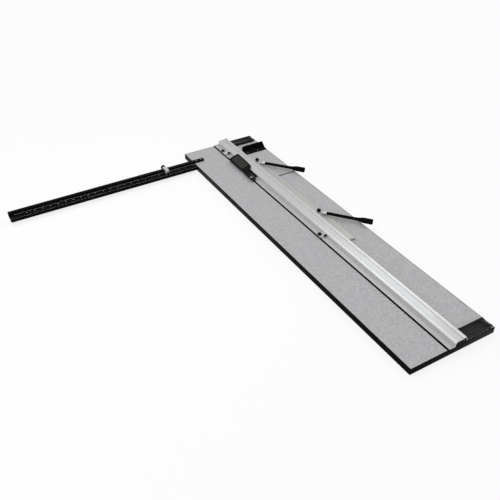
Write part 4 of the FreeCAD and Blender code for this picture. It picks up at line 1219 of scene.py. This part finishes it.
class MATCUTTER_OT_head(FinishOperator, bpy.types.Operator):
    """Makes the cutting head: hood, palm panel, shoe, blade lever, blade and spring."""

    bl_idname = "matcutter.head"
    bl_label = "Cutting head"

    def execute(self, context):
        tones = colours()
        steel = shared(plated_steel)
        moulding = finish("Head moulding", tones.black, rough=(0.30, 0.44), scale=2000.0,
                          contrast=0.4, bump=0.12, specular=0.08)
        soften({"head_shoe": 0.4, "press_arm": 0.8}, moulding)
        stand_in("head_housing", self.hood(), moulding)
        self.palm_panel(finish(
            "Palm panel", tones.palm, rough=(0.55, 0.68), scale=2200.0, contrast=0.12,
            bump=0.2, specular=0.08))
        coat(["blade", "blade_holder"], finish(
            "Blade steel", shade(tones.steel, 1.1), metallic=0.95, rough=(0.16, 0.26),
            drawn=(900.0, 900.0, 40.0), bump=0.05))
        coat(["head_axle", "depth_screw"], steel)
        screw_row("head_screws", steel)
        self.ring_screw(steel, moulding)
        self.spring(steel)
        return {"FINISHED"}

    def hood(self):
        """The hood with a well rounded corner over the rail at its near end."""
        low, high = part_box("head_housing")
        radius = HOOD_CORNER * MM
        middle_x = high.x - radius
        middle_y = low.y + radius
        outline = [(middle_x, low.y - MM), (high.x + MM, low.y - MM), (high.x + MM, middle_y)]
        for cosine, sine in quarter(8):
            outline.append((middle_x + radius * cosine, middle_y - radius * sine))
        corner = slab("hood_corner", outline, low.z - MM, high.z + MM)
        return softened("head_housing", 1.3, corner)

    def palm_panel(self, material):
        """A thin crowned panel in the hood's recess, with ribs across it for grip."""
        low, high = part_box("head_housing")
        left = low.x + PANEL_LEFT * MM
        near = low.y + PANEL_NEAR * MM
        above = high.z + 10.0 * MM
        half_wide = PANEL_WIDE * MM / 2
        half_long = PANEL_LONG * MM / 2
        hood = whole_faces("head_housing")
        surface = BVHTree.FromBMesh(hood)
        hood.free()
        work = bmesh.new()
        rows = []
        for down in range(PANEL_ROWS + 1):
            row = []
            for across in range(PANEL_COLUMNS + 1):
                u = 2.0 * across / PANEL_COLUMNS - 1.0
                v = 2.0 * down / PANEL_ROWS - 1.0
                x, y = rounded_corner(u * half_wide, v * half_long, half_wide, half_long,
                                      PANEL_CORNER * MM)
                place = Vector((left + half_wide + x, near + half_long + y, above))
                met = surface.ray_cast(place, Vector((0.0, 0.0, -1.0)))[0]
                if met is None:
                    raise RuntimeError("the palm panel misses the hood")
                row.append(work.verts.new((place.x, place.y, met.z + PANEL_PROUD * MM)))
            rows.append(row)
        thickness = Vector((0.0, 0.0, PANEL_THICK * MM))
        under = [[work.verts.new(corner.co - thickness) for corner in row] for row in rows]
        for sheet in (rows, under):
            for first, second in zip(sheet, sheet[1:]):
                skin(work, first, second)
        skin(work, border(rows), border(under))
        bmesh.ops.recalc_face_normals(work, faces=work.faces)
        values = {"Count": int(RIB_ROOM / RIB_PITCH), "Pitch": (0.0, RIB_PITCH * MM, 0.0),
                  "First": (left + RIB_INSET * MM, near + RIB_START * MM, above),
                  "Reach": ((PANEL_WIDE - 2 * RIB_INSET) * MM, 0.0, 0.0),
                  "Rib radius": RIB_RADIUS * MM, "Finish": material}
        ribbed = grown(ribs_tree, "palm_panel", values, meshed(work, "palm_panel"))
        extra("palm_panel", "head_housing", ribbed, material)

    def ring_screw(self, steel, dark):
        """The blade clamp screw: a bright ring with a dark socket in it."""
        radius, tall, place = drum("blade_screw")
        neck = 0.4 * radius
        seat = tall - 2.3 * MM
        inner = 0.5 * radius
        sunk = tall - 1.6 * MM
        profile = [(0.0, 0.0), (neck, 0.0), (neck, seat), (radius, seat),
                   (radius, tall - 0.7 * MM), (radius - 0.5 * MM, tall - 0.1 * MM),
                   (radius - 1.0 * MM, tall), (inner, tall), (inner, sunk), (0.0, sunk)]
        turned("blade_screw", profile, place, MANY_SIDES, steel)
        socket = rounded_profile(inner * 0.98, tall - 1.9 * MM, tall - 0.9 * MM, 0.3 * MM)
        extra("blade_screw_socket", "blade_screw",
              lathe("socket", socket, place, FEW_SIDES), dark)

    def spring(self, steel):
        """The wound spring that lifts the blade."""
        low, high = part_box("return_spring")
        middle = (low + high) / 2
        wire_radius = SPRING_WIRE * MM
        values = {"Turns": SPRING_TURNS, "Radius": (high.x - low.x) / 2 - wire_radius,
                  "Height": high.z - low.z - 2 * wire_radius, "Wire radius": wire_radius,
                  "Finish": steel}
        mesh_data = grown(coil_tree, "return_spring_coil", values)
        mesh_data.transform(Matrix.Translation((middle.x, middle.y, low.z + wire_radius)))
        piece = stand_in("return_spring", mesh_data, steel)
        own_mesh(piece)


class MATCUTTER_OT_stage(bpy.types.Operator):
    """Sets up the pale floor, the soft light and the camera."""

    bl_idname = "matcutter.stage"
    bl_label = "Studio"

    def execute(self, context):
        self.lay_floor()
        self.light()
        self.set_camera()
        bpy.context.scene.view_settings.view_transform = "Standard"
        return {"FINISHED"}

    def lay_floor(self):
        """A wide floor under the feet that shows white to the camera."""
        corners = [(x * FLOOR_HALF, y * FLOOR_HALF, CAD_LOW.z)
                   for x, y in ((-1, -1), (1, -1), (1, 1), (-1, 1))]
        mesh_data = bpy.data.meshes.new("floor")
        mesh_data.from_pydata(corners, [], [(0, 1, 2, 3)])
        floor = placed("floor", mesh_data)
        material = bpy.data.materials.new("Studio floor")
        material.use_nodes = True
        tree = material.node_tree
        plain = tree.nodes["Principled BSDF"]
        wire(tree, plain, {"Base Color": (*colours().ground, 1.0), "Roughness": 0.9,
                           "Specular IOR Level": 0.1})
        white = add_node(tree, "ShaderNodeEmission", {"Color": WHITE, "Strength": 1.0})
        ray = add_node(tree, "ShaderNodeLightPath", {})
        seen = larger(tree, ray["Is Camera Ray"], ray["Is Glossy Ray"])
        away = add_node(tree, "ShaderNodeVectorMath", {0: object_place(tree)},
                        operation="LENGTH")["Value"]
        fade = ranged(tree, away, *FLOOR_FADE, FLOOR_WHITE, 1.0)
        share = add_node(tree, "ShaderNodeMath", {0: seen, 1: fade}, operation="MULTIPLY")[0]
        mix = add_node(tree, "ShaderNodeMixShader", {
            "Fac": share, 1: plain.outputs["BSDF"], 2: white["Emission"]})
        wire(tree, tree.nodes["Material Output"], {"Surface": mix["Shader"]})
        dress(mesh_data, material)

    def light(self):
        """A pale sky all round, a soft lamp above and weaker ones from left and right."""
        world = bpy.data.worlds.new("Studio")
        world.use_nodes = True
        tree = world.node_tree
        ray = add_node(tree, "ShaderNodeLightPath", {})
        seen = larger(tree, ray["Is Camera Ray"], ray["Is Transmission Ray"])
        wire(tree, tree.nodes["Background"],
             {"Color": WHITE, "Strength": ranged(tree, seen, first=SKY_LEVEL)})
        bpy.context.scene.world = world
        for name, (place, wide, power) in LAMPS.items():
            data = bpy.data.lights.new(name, "AREA")
            data.shape = "DISK"
            data.size = wide
            data.energy = power
            turn = (AIM - Vector(place)).to_track_quat("-Z", "Y").to_matrix().to_4x4()
            placed(name, data).matrix_world = Matrix.Translation(place) @ turn

    def set_camera(self):
        """The photograph's own viewpoint, found from the board's straight edges."""
        data = bpy.data.cameras.new("camera")
        data.sensor_width = SENSOR_WIDE
        data.lens = sizes().focal * SENSOR_WIDE / PHOTO_WIDE
        data.clip_end = FAR_CLIP
        turn = sizes().azimuth
        rise = sizes().elevation
        ahead = Vector((math.sin(turn) * math.cos(rise), math.cos(turn) * math.cos(rise),
                        -math.sin(rise)))
        right = Vector((math.cos(turn), -math.sin(turn), 0.0))
        up = right.cross(ahead)
        roll = Matrix.Rotation(sizes().roll, 3, ahead)
        grid = Matrix((roll @ right, roll @ up, -ahead)).transposed().to_4x4()
        camera = placed("camera", data)
        place = Vector((sizes().camera_x, sizes().camera_y, sizes().camera_z))
        camera.matrix_world = Matrix.Translation(place) @ grid
        bpy.context.scene.camera = camera


class MATCUTTER_PT_panel(bpy.types.Panel):
    """Buttons for the pieces of the mat cutter, in the order in which they are made."""

    bl_idname = "MATCUTTER_PT_panel"
    bl_label = "Mat cutter"
    bl_space_type = "VIEW_3D"
    bl_region_type = "UI"
    bl_category = "Mat cutter"

    def draw(self, context):
        for operator in OPERATORS:
            self.layout.operator(operator.bl_idname)


OPERATORS = [
    MATCUTTER_OT_board,
    MATCUTTER_OT_rail,
    MATCUTTER_OT_hinges,
    MATCUTTER_OT_squaring_arm,
    MATCUTTER_OT_stops,
    MATCUTTER_OT_mat_guide,
    MATCUTTER_OT_end_bracket,
    MATCUTTER_OT_head,
    MATCUTTER_OT_stage,
]
CLASSES = [MatCutterColours, MatCutterSizes, *OPERATORS, MATCUTTER_PT_panel]


def register():
    for kind in CLASSES:
        bpy.utils.register_class(kind)
    bpy.types.Scene.mat_cutter_colours = bpy.props.PointerProperty(type=MatCutterColours)
    bpy.types.Scene.mat_cutter_sizes = bpy.props.PointerProperty(type=MatCutterSizes)


def unregister():
    del bpy.types.Scene.mat_cutter_sizes
    del bpy.types.Scene.mat_cutter_colours
    for kind in reversed(CLASSES):
        bpy.utils.unregister_class(kind)


def main():
    register()
    for operator in OPERATORS:
        group_name, action = operator.bl_idname.split(".")
        getattr(getattr(bpy.ops, group_name), action)()


if __name__ == "__main__":
    main()
